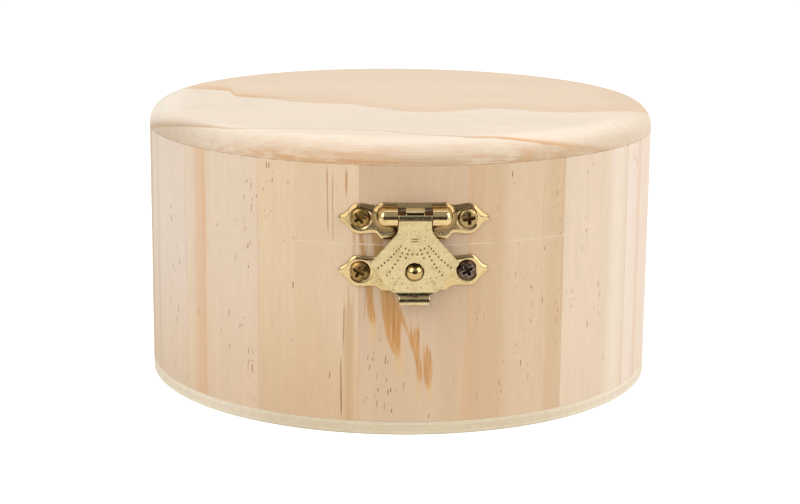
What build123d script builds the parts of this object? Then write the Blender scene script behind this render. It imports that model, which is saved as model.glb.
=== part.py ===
import os
from math import asin, cos, degrees, radians, sin

from build123d import *

# A round keepsake box of pine staves, sawn into a body and a lid after it was turned, with a
# plywood bottom, a brass hasp at the front and a brass hinge at the back. Millimetres, +Z up,
# the origin at the middle of the underside, the front with the hasp towards -Y.

# Box
box_diameter = 130
box_height = 70.3
wall_thickness = 8
lid_height = 24.5
base_thickness = 3.2
base_edge_ease = 0.3
top_thickness = 6
top_edge_radius = 5.35
saw_edge_ease = 0.15
stave_count = 16

# Screws, all of one size
screw_head_radius = 2.25
screw_head_rim = 0.45
screw_head_dome = 0.75
screw_shank_radius = 0.95
screw_point_length = 2
screw_tip_cover = 2
screw_recess_width = 0.6
screw_recess_length = 2.5
screw_recess_depth = 0.7
screw_hole_clearance = 0.05
sheet_hole_clearance = 0.15

# Hasp plates, stamped from one sheet and bent to the round wall
plate_sheet = 0.6
plate_half_length = 17.35
plate_corner_radius = 0.3
block_half_width = 7.5
mounting_block_half_height = 4.1
catch_block_half_height = 4.5
waist_reach = 8.8
waist_half_height = 3.2
ear_inner_reach = 11.2
ear_outer_reach = 13.5
ear_half_height = 3.45
ogee_reach = 15.4
ogee_half_height = 1.75
plate_screw_reach = 12.4
mounting_plate_rise = 6.15
catch_plate_drop = 5.8

# Hasp pin, and the two pressed bumps that hold it beside the window
hasp_pin_radius = 1.4
hasp_pin_half_length = 7.2
pin_end_ease = 0.2
pin_seat_clearance = 0.02
running_clearance = 0.05
bump_shell = 0.7
bump_half_length = 8.75
pivot_rise = 0.75
knuckle_wall_gap = 0.3
window_edge_gap = 0.15

# Flap of the hasp
flap_sheet = 0.6
neck_half_width = 3.75
neck_side_gap = 0.25
tongue_half_width = 2.15
tongue_notch_rise = 0.8
curl_exit_angle = 25
neck_bend_drop = 2.1
neck_bend_radius = 1.5
neck_wall_gap = 3
foot_wall_gap = 1.65
neck_length_share = 0.24
shoulder_half_width = 10.5
shoulder_drop_share = 0.84
jaw_half_width = 5.7
jaw_drop_share = 0.8
foot_half_width = 4.9
foot_below_stud = 5.2
neck_curve_radius = 3
shoulder_corner_radius = 0.8
flap_corner_radius = 0.4
lip_half_width = 3.55
lip_throw = 1.15
lip_slope_drop = 1.2
lip_end_length = 1.1
lip_bend_radius = 0.6

# Ball stud of the catch
stud_ball_radius = 2.05
stud_ball_rise = 2.1
stud_collar_radius = 1.5
stud_rivet_radius = 1
stud_hole_clearance = 0.2

# Hinge
hinge_sheet = 0.7
hinge_pin_radius = 1.1
hinge_head_radius = 1.6
hinge_head_length = 0.6
hinge_half_width = 9
lid_knuckle_half_width = 2.9
knuckle_side_gap = 0.2
leaf_height = 13
leaf_corner_radius = 0.8
leaf_waist_share = 0.28
leaf_lobe_half_width = 11.5
leaf_lobe_low_share = 0.42
leaf_lobe_high_share = 0.72
leaf_top_outer_half_width = 8.5
leaf_top_inner_half_width = 5.5
leaf_valley_half_width = 3
leaf_valley_share = 0.8
leaf_screw_reach = 7.3
leaf_screw_share = 0.56

# Sizes worked out from those above
box_radius = box_diameter / 2
inner_radius = box_radius - wall_thickness
split_height = box_height - lid_height
ring_top = box_height - top_thickness
stave_angle = 360 / stave_count
front = 0
back = 180
shank_length = wall_thickness - screw_tip_cover
mounting_height = split_height + mounting_plate_rise
catch_height = split_height - catch_plate_drop
pivot_height = mounting_height + pivot_rise
stud_drop = pivot_height - catch_height
foot_drop = stud_drop + foot_below_stud
curl_bore_radius = hasp_pin_radius + running_clearance
curl_radius = curl_bore_radius + flap_sheet
pivot_radius = box_radius + knuckle_wall_gap + curl_radius
bump_bore_radius = hasp_pin_radius + pin_seat_clearance
bump_radius = bump_bore_radius + bump_shell
bump_end_centre = bump_half_length - bump_radius
window_half_width = neck_half_width + neck_side_gap
window_half_height = curl_radius + window_edge_gap
plate_screw_angle = degrees(asin(plate_screw_reach / box_radius))
knuckle_radius = hinge_pin_radius + running_clearance + hinge_sheet
hinge_axis_radius = box_radius + knuckle_wall_gap + knuckle_radius
leaf_notch = knuckle_radius + knuckle_wall_gap
body_knuckle_start = lid_knuckle_half_width + knuckle_side_gap
leaf_screw_angle = degrees(asin(leaf_screw_reach / box_radius))
leaf_screw_rise = leaf_height * leaf_screw_share

# Angle round the box and height of each screw
mounting_screws = [(side * plate_screw_angle + front, mounting_height) for side in (-1, 1)]
catch_screws = [(side * plate_screw_angle + front, catch_height) for side in (-1, 1)]
lid_leaf_height = split_height + leaf_screw_rise
body_leaf_height = split_height - leaf_screw_rise
lid_leaf_screws = [(side * leaf_screw_angle + back, lid_leaf_height) for side in (-1, 1)]
body_leaf_screws = [(side * leaf_screw_angle + back, body_leaf_height) for side in (-1, 1)]


def outward(angle):
    # Level direction away from the box's axis; angles run from the front towards +X
    return (sin(radians(angle)), -cos(radians(angle)), 0)


def along_wall(angle):
    # Level direction along the wall, the way the angles run
    return (cos(radians(angle)), sin(radians(angle)), 0)


def facing_plane(angle, height, radius):
    # Upright plane that faces outwards, its origin at this radius and height
    x, y, _ = outward(angle)
    return Plane(origin=(radius * x, radius * y, height), x_dir=along_wall(angle), z_dir=outward(angle))


def section_plane(angle):
    # Upright plane through the box's axis: its x is the radius, its y is the height
    x, y, _ = along_wall(angle)
    return Plane(origin=(0, 0, 0), x_dir=outward(angle), z_dir=(-x, -y, 0))


def save(piece, name):
    piece.part.label = name
    export_step(piece.part, f"parts/{name}.step")


def make_base_panel():
    # Plywood disc, flush with the wall
    with BuildPart() as base_panel:
        with BuildSketch(Plane.XY):
            Circle(box_radius)
        extrude(amount=base_thickness)
        chamfer(base_panel.edges(), length=base_edge_ease)
    save(base_panel, "base_panel")


def make_top_panel():
    # Pine disc on the lid ring, its upper edge well rounded
    with BuildPart() as top_panel:
        with BuildSketch(Plane.XY.offset(ring_top)):
            Circle(box_radius)
        extrude(amount=top_thickness)
        fillet(top_panel.edges().group_by(Axis.Z)[-1], radius=top_edge_radius)
    save(top_panel, "top_panel")


def make_stave(name, number, low, high, sawn_edge, screws):
    # A turned wedge, its sawn edge eased, with pilot holes where screws enter it
    with BuildPart() as stave:
        with BuildSketch(section_plane(front + (number - 1 / 2) * stave_angle)) as wall:
            with Locations(((inner_radius + box_radius) / 2, (low + high) / 2)):
                Rectangle(wall_thickness, high - low)
            chamfer(wall.vertices().group_by(Axis.Y)[sawn_edge], length=saw_edge_ease)
        revolve(axis=Axis.Z, revolution_arc=stave_angle)
        for angle, height in screws:
            with Locations(facing_plane(angle, height, box_radius)):
                Hole(screw_shank_radius + screw_hole_clearance, depth=shank_length)
    save(stave, name)


def make_rings():
    # The same staves run through body and lid; stave 1 is the one behind the hasp
    top_edge = -1
    bottom_edge = 0
    for number in range(stave_count):
        body_name = f"body_stave_{number + 1:02d}"
        lid_name = f"lid_stave_{number + 1:02d}"
        body_screws = catch_screws + body_leaf_screws
        lid_screws = mounting_screws + lid_leaf_screws
        make_stave(body_name, number, base_thickness, split_height, top_edge, body_screws)
        make_stave(lid_name, number, split_height, ring_top, bottom_edge, lid_screws)


def make_screws(name, screws, sheet):
    # Cross-head screws driven square to the wall, the underside of each head on the sheet
    seat = box_radius + sheet
    rim = seat + screw_head_rim
    crown = rim + screw_head_dome
    tip = box_radius - shank_length
    with BuildPart() as group:
        for angle, height in screws:
            with BuildSketch(section_plane(angle)):
                with BuildLine():
                    Polyline(
                        (crown, height),
                        (tip, height),
                        (tip + screw_point_length, height + screw_shank_radius),
                        (seat, height + screw_shank_radius),
                        (seat, height + screw_head_radius),
                        (rim, height + screw_head_radius),
                    )
                    TangentArc((crown, height), (rim, height + screw_head_radius), tangent=(0, 1))
                make_face()
            revolve(axis=Axis((0, 0, height), outward(angle)))
            with BuildSketch(facing_plane(angle, height, crown)):
                Rectangle(screw_recess_length, screw_recess_width)
                Rectangle(screw_recess_width, screw_recess_length)
            extrude(amount=-screw_recess_depth, mode=Mode.SUBTRACT)
    save(group, name)


def both_sides(right_side):
    # Closed outline from its right-hand side, listed from one end to the other
    return right_side + [(-x, y) for x, y in reversed(right_side)]


def bent_sheet(angle, height, outline, corner_radius, sheet, screws):
    # A flat outline pressed against the round wall, with its screw holes
    with BuildPart() as blank:
        with BuildSketch(facing_plane(angle, height, 0)) as face:
            with BuildLine():
                Polyline(*outline, close=True)
            make_face()
            fillet(face.vertices(), radius=corner_radius)
        extrude(amount=box_diameter)
        with BuildSketch(Plane.XY):
            Circle(box_radius + sheet)
            Circle(box_radius, mode=Mode.SUBTRACT)
        extrude(amount=box_height, mode=Mode.INTERSECT)
        for screw_angle, screw_height in screws:
            with Locations(facing_plane(screw_angle, screw_height, box_radius)):
                Hole(screw_shank_radius + sheet_hole_clearance, depth=wall_thickness)
    return blank.part


def plate_outline(block_half_height):
    # Middle block with an eared and pointed end at each side
    upper = [
        (block_half_width, block_half_height),
        (waist_reach, waist_half_height),
        (ear_inner_reach, ear_half_height),
        (ear_outer_reach, ear_half_height),
        (ogee_reach, ogee_half_height),
    ]
    lower = [(x, -y) for x, y in reversed(upper)]
    return both_sides(upper + [(plate_half_length, 0)] + lower)


def make_mounting_plate():
    # Sheet on the lid with two bumps over the pin and a window for the flap's curl
    outline = plate_outline(mounting_block_half_height)
    sheet = bent_sheet(front, mounting_height, outline, plate_corner_radius, plate_sheet, mounting_screws)
    straight = bump_end_centre - window_half_width
    with BuildPart() as mounting_plate:
        with BuildSketch(facing_plane(front, pivot_height, pivot_radius)):
            for side in (-1, 1):
                with Locations((side * (window_half_width + straight / 2), 0)):
                    Rectangle(straight, 2 * bump_radius)
                with Locations((side * bump_end_centre, 0)):
                    Circle(bump_radius)
        extrude(amount=-wall_thickness)
        with BuildSketch(Plane.YZ):
            with Locations((-pivot_radius, pivot_height)):
                Circle(bump_radius)
        extrude(amount=bump_end_centre, both=True)
        with Locations(
            (-bump_end_centre, -pivot_radius, pivot_height),
            (bump_end_centre, -pivot_radius, pivot_height),
        ):
            Sphere(bump_radius)
        with BuildSketch(Plane.XY):
            Circle(box_radius)
        extrude(amount=box_height, mode=Mode.SUBTRACT)
        add(sheet)
        with BuildSketch(facing_plane(front, pivot_height, 0)):
            Rectangle(2 * window_half_width, 2 * window_half_height)
        extrude(amount=box_diameter, mode=Mode.SUBTRACT)
        with BuildSketch(Plane.YZ):
            with Locations((-pivot_radius, pivot_height)):
                Circle(bump_bore_radius)
        extrude(amount=hasp_pin_half_length + pin_seat_clearance, both=True, mode=Mode.SUBTRACT)
    save(mounting_plate, "hasp_mounting_plate")


def make_hasp_pin():
    with BuildPart() as hasp_pin:
        with BuildSketch(Plane.YZ):
            with Locations((-pivot_radius, pivot_height)):
                Circle(hasp_pin_radius)
        extrude(amount=hasp_pin_half_length, both=True)
        chamfer(hasp_pin.edges().filter_by(GeomType.CIRCLE), length=pin_end_ease)
    save(hasp_pin, "hasp_pin")


def flap_side_path():
    # Middle of the sheet seen from the side: off the curl, down past the stud, out at the lip
    curl_middle = curl_bore_radius + flap_sheet / 2
    exit_angle = radians(curl_exit_angle)
    neck = box_radius + neck_wall_gap + flap_sheet / 2
    foot = box_radius + foot_wall_gap + flap_sheet / 2
    foot_height = pivot_height - foot_drop
    lip_height = foot_height - lip_slope_drop
    return [
        (-pivot_radius - curl_middle * cos(exit_angle), pivot_height - curl_middle * sin(exit_angle)),
        (-neck, pivot_height - neck_bend_drop),
        (-foot, foot_height),
        (-foot - lip_throw, lip_height),
        (-foot - lip_throw, lip_height - lip_end_length),
    ]


def flap_outline():
    # Front view, measured from the pin: curl, straight neck, wide shoulders, jaw, foot and lip
    jaw_drop = stud_drop + foot_below_stud * jaw_drop_share
    lip_end_drop = foot_drop + lip_slope_drop + lip_end_length
    return both_sides(
        [
            (neck_half_width, curl_radius),
            (neck_half_width, -stud_drop * neck_length_share),
            (shoulder_half_width, -stud_drop * shoulder_drop_share),
            (jaw_half_width, -jaw_drop),
            (foot_half_width, -foot_drop),
            (lip_half_width, -foot_drop),
            (lip_half_width, -lip_end_drop),
        ]
    )


def make_hasp_flap():
    # Sheet and curl drawn from the side, then cut to the outline seen from the front
    neck, shoulder, corner = neck_curve_radius, shoulder_corner_radius, flap_corner_radius
    rounding = [0, neck, shoulder, corner, corner, 0, corner]
    side_width = neck_half_width - tongue_half_width
    with BuildPart() as hasp_flap:
        with BuildSketch(Plane.YZ):
            with BuildLine():
                FilletPolyline(*flap_side_path(), radius=[neck_bend_radius, lip_bend_radius, lip_bend_radius])
            trace(line_width=flap_sheet)
            with Locations((-pivot_radius, pivot_height)):
                Circle(curl_radius)
                Circle(curl_bore_radius, mode=Mode.SUBTRACT)
        extrude(amount=box_radius, both=True)
        with BuildSketch(facing_plane(front, pivot_height, 0)):
            with BuildLine():
                FilletPolyline(*flap_outline(), radius=rounding + rounding[::-1], close=True)
            make_face()
        extrude(amount=box_diameter, mode=Mode.INTERSECT)
        # Beside the tongue the curl is cut back to a front shoulder
        for side in (-1, 1):
            middle = side * (tongue_half_width + side_width)
            with BuildSketch(facing_plane(front, pivot_height, pivot_radius)):
                with Locations((middle, 0)):
                    Rectangle(2 * side_width, 3 * curl_radius)
            extrude(amount=-2 * curl_radius, mode=Mode.SUBTRACT)
            with BuildSketch(Plane.XY.offset(pivot_height + tongue_notch_rise)):
                with Locations((middle, -pivot_radius)):
                    Rectangle(2 * side_width, 3 * curl_radius)
            extrude(amount=curl_radius, mode=Mode.SUBTRACT)
        with BuildSketch(facing_plane(front, catch_height, 0)):
            Circle(stud_ball_radius + stud_hole_clearance)
        extrude(amount=box_diameter, mode=Mode.SUBTRACT)
    save(hasp_flap, "hasp_flap")


def make_catch_plate():
    outline = plate_outline(catch_block_half_height)
    with BuildPart() as catch_plate:
        add(bent_sheet(front, catch_height, outline, plate_corner_radius, plate_sheet, catch_screws))
        with Locations(facing_plane(front, catch_height, box_radius)):
            Hole(stud_rivet_radius, depth=wall_thickness)
    save(catch_plate, "catch_plate")


def make_catch_stud():
    # Rivet through the plate, a collar on it and a ball for the flap's hole to snap over
    seat = box_radius + plate_sheet
    ball_centre = seat + stud_ball_rise
    ball_start = ball_centre - (stud_ball_radius**2 - stud_collar_radius**2) ** (1 / 2)
    with BuildPart() as catch_stud:
        with BuildSketch(section_plane(front)):
            with BuildLine():
                Polyline(
                    (ball_centre + stud_ball_radius, catch_height),
                    (box_radius, catch_height),
                    (box_radius, catch_height + stud_rivet_radius),
                    (seat, catch_height + stud_rivet_radius),
                    (seat, catch_height + stud_collar_radius),
                    (ball_start, catch_height + stud_collar_radius),
                )
                ThreePointArc(
                    (ball_start, catch_height + stud_collar_radius),
                    (ball_centre, catch_height + stud_ball_radius),
                    (ball_centre + stud_ball_radius, catch_height),
                )
            make_face()
        revolve(axis=Axis((0, 0, catch_height), outward(front)))
    save(catch_stud, "catch_stud")


def make_hinge_leaf(name, way, spans, notches, bore_radius, screws):
    # A leaf above (way 1) or below (way -1) the saw cut, with its knuckles round the pin
    right_side = [
        (leaf_valley_half_width, leaf_height * leaf_valley_share),
        (leaf_top_inner_half_width, leaf_height),
        (leaf_top_outer_half_width, leaf_height),
        (leaf_lobe_half_width, leaf_height * leaf_lobe_high_share),
        (leaf_lobe_half_width, leaf_height * leaf_lobe_low_share),
        (hinge_half_width, leaf_height * leaf_waist_share),
        (hinge_half_width, 0),
    ]
    outline = both_sides([(x, way * y) for x, y in right_side])
    with BuildPart() as sheet:
        add(bent_sheet(back, split_height, outline, leaf_corner_radius, hinge_sheet, screws))
        with BuildSketch(facing_plane(back, split_height, 0)):
            for low, high in notches:
                with Locations(((low + high) / 2, 0)):
                    Rectangle(high - low, 2 * leaf_notch)
        extrude(amount=box_diameter, mode=Mode.SUBTRACT)
    with BuildPart() as leaf:
        for low, high in spans:
            with BuildSketch(Plane.YZ.offset(low)):
                with Locations((hinge_axis_radius, split_height)):
                    Circle(knuckle_radius)
                with Locations((hinge_axis_radius - wall_thickness / 2, split_height + way * knuckle_radius / 2)):
                    Rectangle(wall_thickness, knuckle_radius)
            extrude(amount=high - low)
        with BuildSketch(Plane.XY):
            Circle(box_radius)
        extrude(amount=box_height, mode=Mode.SUBTRACT)
        add(sheet.part)
        with BuildSketch(Plane.YZ):
            with Locations((hinge_axis_radius, split_height)):
                Circle(bore_radius)
        extrude(amount=box_radius, both=True, mode=Mode.SUBTRACT)
    save(leaf, name)


def make_hinge_leaves():
    # The body's leaf has the two outer knuckles, which hold the pin; the lid's turns between them
    middle = [(-lid_knuckle_half_width, lid_knuckle_half_width)]
    middle_notch = [(-body_knuckle_start, body_knuckle_start)]
    outer = [(-hinge_half_width, -body_knuckle_start), (body_knuckle_start, hinge_half_width)]
    past_edge = hinge_half_width + knuckle_side_gap
    outer_notch = [(-past_edge, -lid_knuckle_half_width), (lid_knuckle_half_width, past_edge)]
    seat_radius = hinge_pin_radius + pin_seat_clearance
    turning_radius = hinge_pin_radius + running_clearance
    make_hinge_leaf("hinge_leaf_body", -1, outer, middle_notch, seat_radius, body_leaf_screws)
    make_hinge_leaf("hinge_leaf_lid", 1, middle, outer_notch, turning_radius, lid_leaf_screws)


def make_hinge_pin():
    with BuildPart() as hinge_pin:
        with BuildSketch(Plane.YZ):
            with Locations((hinge_axis_radius, split_height)):
                Circle(hinge_pin_radius)
        extrude(amount=hinge_half_width, both=True)
        for start, length in ((hinge_half_width, hinge_head_length), (-hinge_half_width, -hinge_head_length)):
            with BuildSketch(Plane.YZ.offset(start)):
                with Locations((hinge_axis_radius, split_height)):
                    Circle(hinge_head_radius)
            extrude(amount=length)
        chamfer(hinge_pin.edges().group_by(Axis.X)[0], length=pin_end_ease)
        chamfer(hinge_pin.edges().group_by(Axis.X)[-1], length=pin_end_ease)
    save(hinge_pin, "hinge_pin")


def main():
    os.makedirs("parts", exist_ok=True)
    make_base_panel()
    make_rings()
    make_top_panel()
    make_mounting_plate()
    make_hasp_pin()
    make_hasp_flap()
    make_screws("hasp_plate_screws", mounting_screws, plate_sheet)
    make_catch_plate()
    make_catch_stud()
    make_screws("catch_plate_screws", catch_screws, plate_sheet)
    make_hinge_leaves()
    make_hinge_pin()
    make_screws("hinge_lid_screws", lid_leaf_screws, hinge_sheet)
    make_screws("hinge_body_screws", body_leaf_screws, hinge_sheet)


main()
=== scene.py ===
import math
from math import cos, hypot, radians, sin, sqrt

import bmesh
import bpy
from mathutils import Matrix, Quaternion, Vector


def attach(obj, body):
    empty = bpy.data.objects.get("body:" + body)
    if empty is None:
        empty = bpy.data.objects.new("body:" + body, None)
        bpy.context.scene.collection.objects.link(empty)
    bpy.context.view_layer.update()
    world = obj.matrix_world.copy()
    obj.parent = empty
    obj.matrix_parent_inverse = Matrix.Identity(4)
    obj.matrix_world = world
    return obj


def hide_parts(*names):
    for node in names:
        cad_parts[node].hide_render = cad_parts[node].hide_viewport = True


mm = 0.001
wallRadius = 65.0  # mm, outside of the turned staves
boxTop = 70.3
sawHeight = 45.8  # where the lid was cut from the body
staveTurn = 22.5  # degrees, one of sixteen
sharpAngle = radians(40)
quarterTurn = radians(90)

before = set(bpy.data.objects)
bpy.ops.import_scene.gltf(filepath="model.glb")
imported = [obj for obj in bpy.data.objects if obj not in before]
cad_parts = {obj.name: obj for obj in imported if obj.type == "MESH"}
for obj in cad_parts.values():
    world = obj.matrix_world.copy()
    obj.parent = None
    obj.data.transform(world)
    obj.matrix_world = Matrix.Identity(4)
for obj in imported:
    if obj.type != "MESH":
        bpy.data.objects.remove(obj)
bpy.context.view_layer.update()
bpy.ops.object.select_all(action="DESELECT")
print("frame loaded:", len(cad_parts), "nodes")


# Small helpers for node trees. A value is a number or a node's output.

def put(tree, kind, values=(), **options):
    node = tree.nodes.new(kind)
    for name, value in options.items():
        setattr(node, name, value)
    for name, value in dict(values).items():
        if isinstance(value, bpy.types.NodeSocket):
            tree.links.new(value, node.inputs[name])
        else:
            node.inputs[name].default_value = value
    return node


def calc(operation, *values, clamp=False):
    tree = next(value.id_data for value in values if isinstance(value, bpy.types.NodeSocket))
    return put(
        tree, "ShaderNodeMath", dict(enumerate(values)), operation=operation, use_clamp=clamp
    ).outputs[0]


def chain(operation, values, clamp):
    total = values[0]
    for value in values[1:]:
        total = calc(operation, total, value, clamp=clamp)
    return total


def times(*values, clamp=False):
    return chain("MULTIPLY", values, clamp)


def plus(*values, clamp=False):
    return chain("ADD", values, clamp)


def minus(first, second):
    return calc("SUBTRACT", first, second)


def swing(value, size):
    # a noise of 0 to 1 as so much to either side of zero
    return times(minus(value, 0.5), size)


def fade(value, start, end, low=0.0, high=1.0):
    values = {"Value": value, "From Min": start, "From Max": end, "To Min": low, "To Max": high}
    return put(value.id_data, "ShaderNodeMapRange", values, interpolation_type="SMOOTHSTEP").outputs[0]


def fadeOut(value, start, end, low=0.0):
    return fade(value, start, end, 1.0, low)


def band(value, start, full, ending, end):
    return times(fade(value, start, full), fadeOut(value, ending, end))


def mapped(vector, **values):
    return put(vector.id_data, "ShaderNodeMapping", {"Vector": vector, **values}).outputs[0]


def vectors(operation, first, second):
    return put(first.id_data, "ShaderNodeVectorMath", {0: first, 1: second}, operation=operation).outputs[0]


def split(vector):
    return put(vector.id_data, "ShaderNodeSeparateXYZ", {0: vector}).outputs


def fromMiddle(place):
    level = vectors("MULTIPLY", place, (1, 1, 0))
    return put(place.id_data, "ShaderNodeVectorMath", {0: level}, operation="LENGTH").outputs["Value"]


def noise(vector, stretch, detail=2.0, roughness=0.5, shift=(0, 0, 0)):
    settings = {
        "Vector": mapped(vector, Scale=stretch, Location=shift), "Scale": 1.0, "Detail": detail,
        "Roughness": roughness,
    }
    return put(vector.id_data, "ShaderNodeTexNoise", settings).outputs[0]


def colour(red, green, blue):
    # screen values 0-255 to scene colour
    screen = [c / 255 for c in (red, green, blue)]
    return (*[c / 12.92 if c <= 10 / 255 else ((c + 0.055) / 1.055) ** 2.4 for c in screen], 1)


def paint(under, mask, tone, strength=None):
    # lays a tone over what is there, where the mask is; three numbers are a screen colour
    mask = mask if strength is None else times(mask, strength)
    node = put(mask.id_data, "ShaderNodeMix", {0: mask}, data_type="RGBA", clamp_factor=True)
    for index, value in ((6, under), (7, tone)):
        if isinstance(value, bpy.types.NodeSocket):
            mask.id_data.links.new(value, node.inputs[index])
        else:
            node.inputs[index].default_value = colour(*value)
    return node.outputs[2]


def startGroup(name, wanted, given):
    group = bpy.data.node_groups.new(name, "ShaderNodeTree")
    kinds = {"f": "NodeSocketFloat", "c": "NodeSocketColor", "v": "NodeSocketVector"}
    for label, kind, value in wanted:
        socket = group.interface.new_socket(label, in_out="INPUT", socket_type=kinds[kind])
        if value is not None:
            socket.default_value = value
    for label, kind in given:
        group.interface.new_socket(label, in_out="OUTPUT", socket_type=kinds[kind])
    return group, group.nodes.new("NodeGroupInput").outputs, group.nodes.new("NodeGroupOutput").inputs


def endGroup(tree, leave, **results):
    for label, value in results.items():
        tree.links.new(value, leave[label])
    return tree


def emptyMaterial(name):
    material = bpy.data.materials.new(name)
    material.use_nodes = True
    material.node_tree.nodes.clear()
    return material, material.node_tree


def startMaterial(name):
    # an empty material and the place on the piece in mm
    material, tree = emptyMaterial(name)
    return material, tree, mapped(put(tree, "ShaderNodeTexCoord").outputs["Object"], Scale=(1000, 1000, 1000))


def finishMaterial(tree, shade, surface, strength, distance, **values):
    # surface has the roughness and the bump's height
    relief = {"Height": surface["Height"], "Strength": strength, "Distance": distance}
    bump = put(tree, "ShaderNodeBump", relief).outputs[0]
    values = {"Base Color": shade, "Roughness": surface["Roughness"], "Normal": bump, **values}
    principled = put(tree, "ShaderNodeBsdfPrincipled", values)
    put(tree, "ShaderNodeOutputMaterial", {"Surface": principled.outputs[0]})


# Camera, floor and light

shot = {
    "azimuth": -3.0,  # degrees, the hasp is turned a little to the right
    "elevation": 12.31,
    "distance": 0.4972,
    "target": (0, 0, 0.03515),
    "lens": 84.47,
    "roll": 0.53,
    "shift": (0.0006, -0.0276),
}


def aim(azimuth, elevation):
    turn, rise = radians(azimuth), radians(elevation)
    return Vector((sin(turn) * cos(rise), -cos(turn) * cos(rise), sin(rise)))


def addCamera(shot):
    back = aim(shot["azimuth"], shot["elevation"])
    bpy.ops.object.camera_add(location=Vector(shot["target"]) + back * shot["distance"])
    camera = bpy.context.object
    camera.name = "shotCamera"
    camera.rotation_mode = "QUATERNION"
    roll = Quaternion((0, 0, 1), radians(shot["roll"]))
    camera.rotation_quaternion = (-back).to_track_quat("-Z", "Y") @ roll
    camera.data.lens = shot["lens"]
    camera.data.shift_x, camera.data.shift_y = shot["shift"]
    camera.data.clip_start, camera.data.clip_end = 0.01, 20
    bpy.context.scene.camera = camera


studio = {
    "floorRadius": 2.6,
    "sweepHeight": 0.75,
    "sweepRadius": 0.25,
    "paper": (0.86, 0.86, 0.855, 1),
    "lift": 0.55,  # added for the camera, so open paper is white and the shadow stays
    "mirrorLift": 0.2,  # the same in reflections, where the lamps already make it bright
    "card": (0.2, 0.13, 0.25),  # width, height, distance in front
    "worldColour": (0.96, 0.96, 0.96, 1),
    "worldStrength": 0.41,
    "lampTarget": 0.035,
    "lamps": [  # azimuth from the front, elevation, distance, width, height, watts
        ("leftSoftbox", -52, 38, 1.1, 0.8, 0.9, 6.2),
        ("rightSoftbox", 66, 32, 1.1, 0.7, 0.9, 6.4),
        ("topSoftbox", 170, 72, 1.0, 0.8, 0.6, 1.6),
    ],
}


def addLamp(name, azimuth, elevation, distance, width, height, watts):
    place = aim(azimuth, elevation) * distance
    bpy.ops.object.light_add(type="AREA", location=place + Vector((0, 0, studio["lampTarget"])))
    lamp = bpy.context.object
    lamp.name = name
    lamp.rotation_euler = place.to_track_quat("Z", "Y").to_euler()
    lamp.data.shape = "RECTANGLE"
    lamp.data.size, lamp.data.size_y = width, height
    lamp.data.energy = watts


def makePaper(studio):
    paper, tree = emptyMaterial("whitePaper")
    path = put(tree, "ShaderNodeLightPath").outputs
    rays = (("Is Camera Ray", "lift"), ("Is Transmission Ray", "lift"), ("Is Glossy Ray", "mirrorLift"))
    camera, transmission, glossy = (times(path[ray], studio[lift]) for ray, lift in rays)
    strength = calc("MAXIMUM", calc("MAXIMUM", camera, transmission), glossy)
    glow = put(tree, "ShaderNodeEmission", {"Strength": strength})
    diffuse = put(tree, "ShaderNodeBsdfDiffuse", {"Color": studio["paper"]})
    both = put(tree, "ShaderNodeAddShader", {0: diffuse.outputs[0], 1: glow.outputs[0]})
    put(tree, "ShaderNodeOutputMaterial", {"Surface": both.outputs[0]})
    return paper


def addDarkCard(studio):
    # a small dark card below the camera, there for the brass to mirror and for nothing else
    width, height, distance = studio["card"]
    bpy.ops.mesh.primitive_plane_add(
        size=1, location=(0, -distance, height / 2), rotation=(quarterTurn, 0, 0)
    )
    card = bpy.context.object
    card.name = "darkCard"
    card.scale = (width, height, 1)
    card.visible_camera = card.visible_diffuse = card.visible_transmission = card.visible_shadow = False
    black = bpy.data.materials.new("darkCard")
    black.use_nodes = True
    sockets = black.node_tree.nodes["Principled BSDF"].inputs
    sockets["Base Color"].default_value = (0.05, 0.045, 0.04, 1)
    sockets["Roughness"].default_value = 0.9
    card.data.materials.append(black)


def addStudio(studio):
    bpy.ops.mesh.primitive_circle_add(
        vertices=96, radius=studio["floorRadius"], fill_type="NGON", location=(0, 0, 0)
    )
    floor = bpy.context.object
    floor.name = "paperFloor"
    bpy.ops.object.mode_set(mode="EDIT")
    bpy.ops.mesh.select_mode(type="EDGE")
    bpy.ops.mesh.select_all(action="SELECT")
    bpy.ops.mesh.region_to_loop()
    sweep = studio["sweepRadius"]
    for step in range(1, 9):  # the paper curves up at its edge
        last, bend = (radians(90 * count / 8) for count in (step - 1, step))
        out = (sin(bend) - sin(last)) * sweep
        up = (cos(last) - cos(bend)) * sweep
        grown = studio["floorRadius"] + sin(bend) * sweep
        bpy.ops.mesh.extrude_region_move(TRANSFORM_OT_translate={"value": (0, 0, up)})
        bpy.ops.transform.resize(
            value=(grown / (grown - out), grown / (grown - out), 1), center_override=(0, 0, 0)
        )
    bpy.ops.mesh.extrude_region_move(TRANSFORM_OT_translate={"value": (0, 0, studio["sweepHeight"] - sweep)})
    bpy.ops.object.mode_set(mode="OBJECT")
    bpy.ops.object.shade_smooth_by_angle(angle=sharpAngle)
    floor.data.materials.append(makePaper(studio))
    addDarkCard(studio)
    for lamp in studio["lamps"]:
        addLamp(*lamp)
    world = bpy.data.worlds.new("softRoom")
    bpy.context.scene.world = world
    world.use_nodes = True
    sky = world.node_tree.nodes["Background"]
    sky.inputs["Color"].default_value = studio["worldColour"]
    sky.inputs["Strength"].default_value = studio["worldStrength"]
    bpy.context.scene.view_settings.view_transform = "Standard"


addCamera(shot)
addStudio(studio)
print("camera, paper and lamps are set")


# Wood: the effects that every board uses. Places are in mm.

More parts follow.
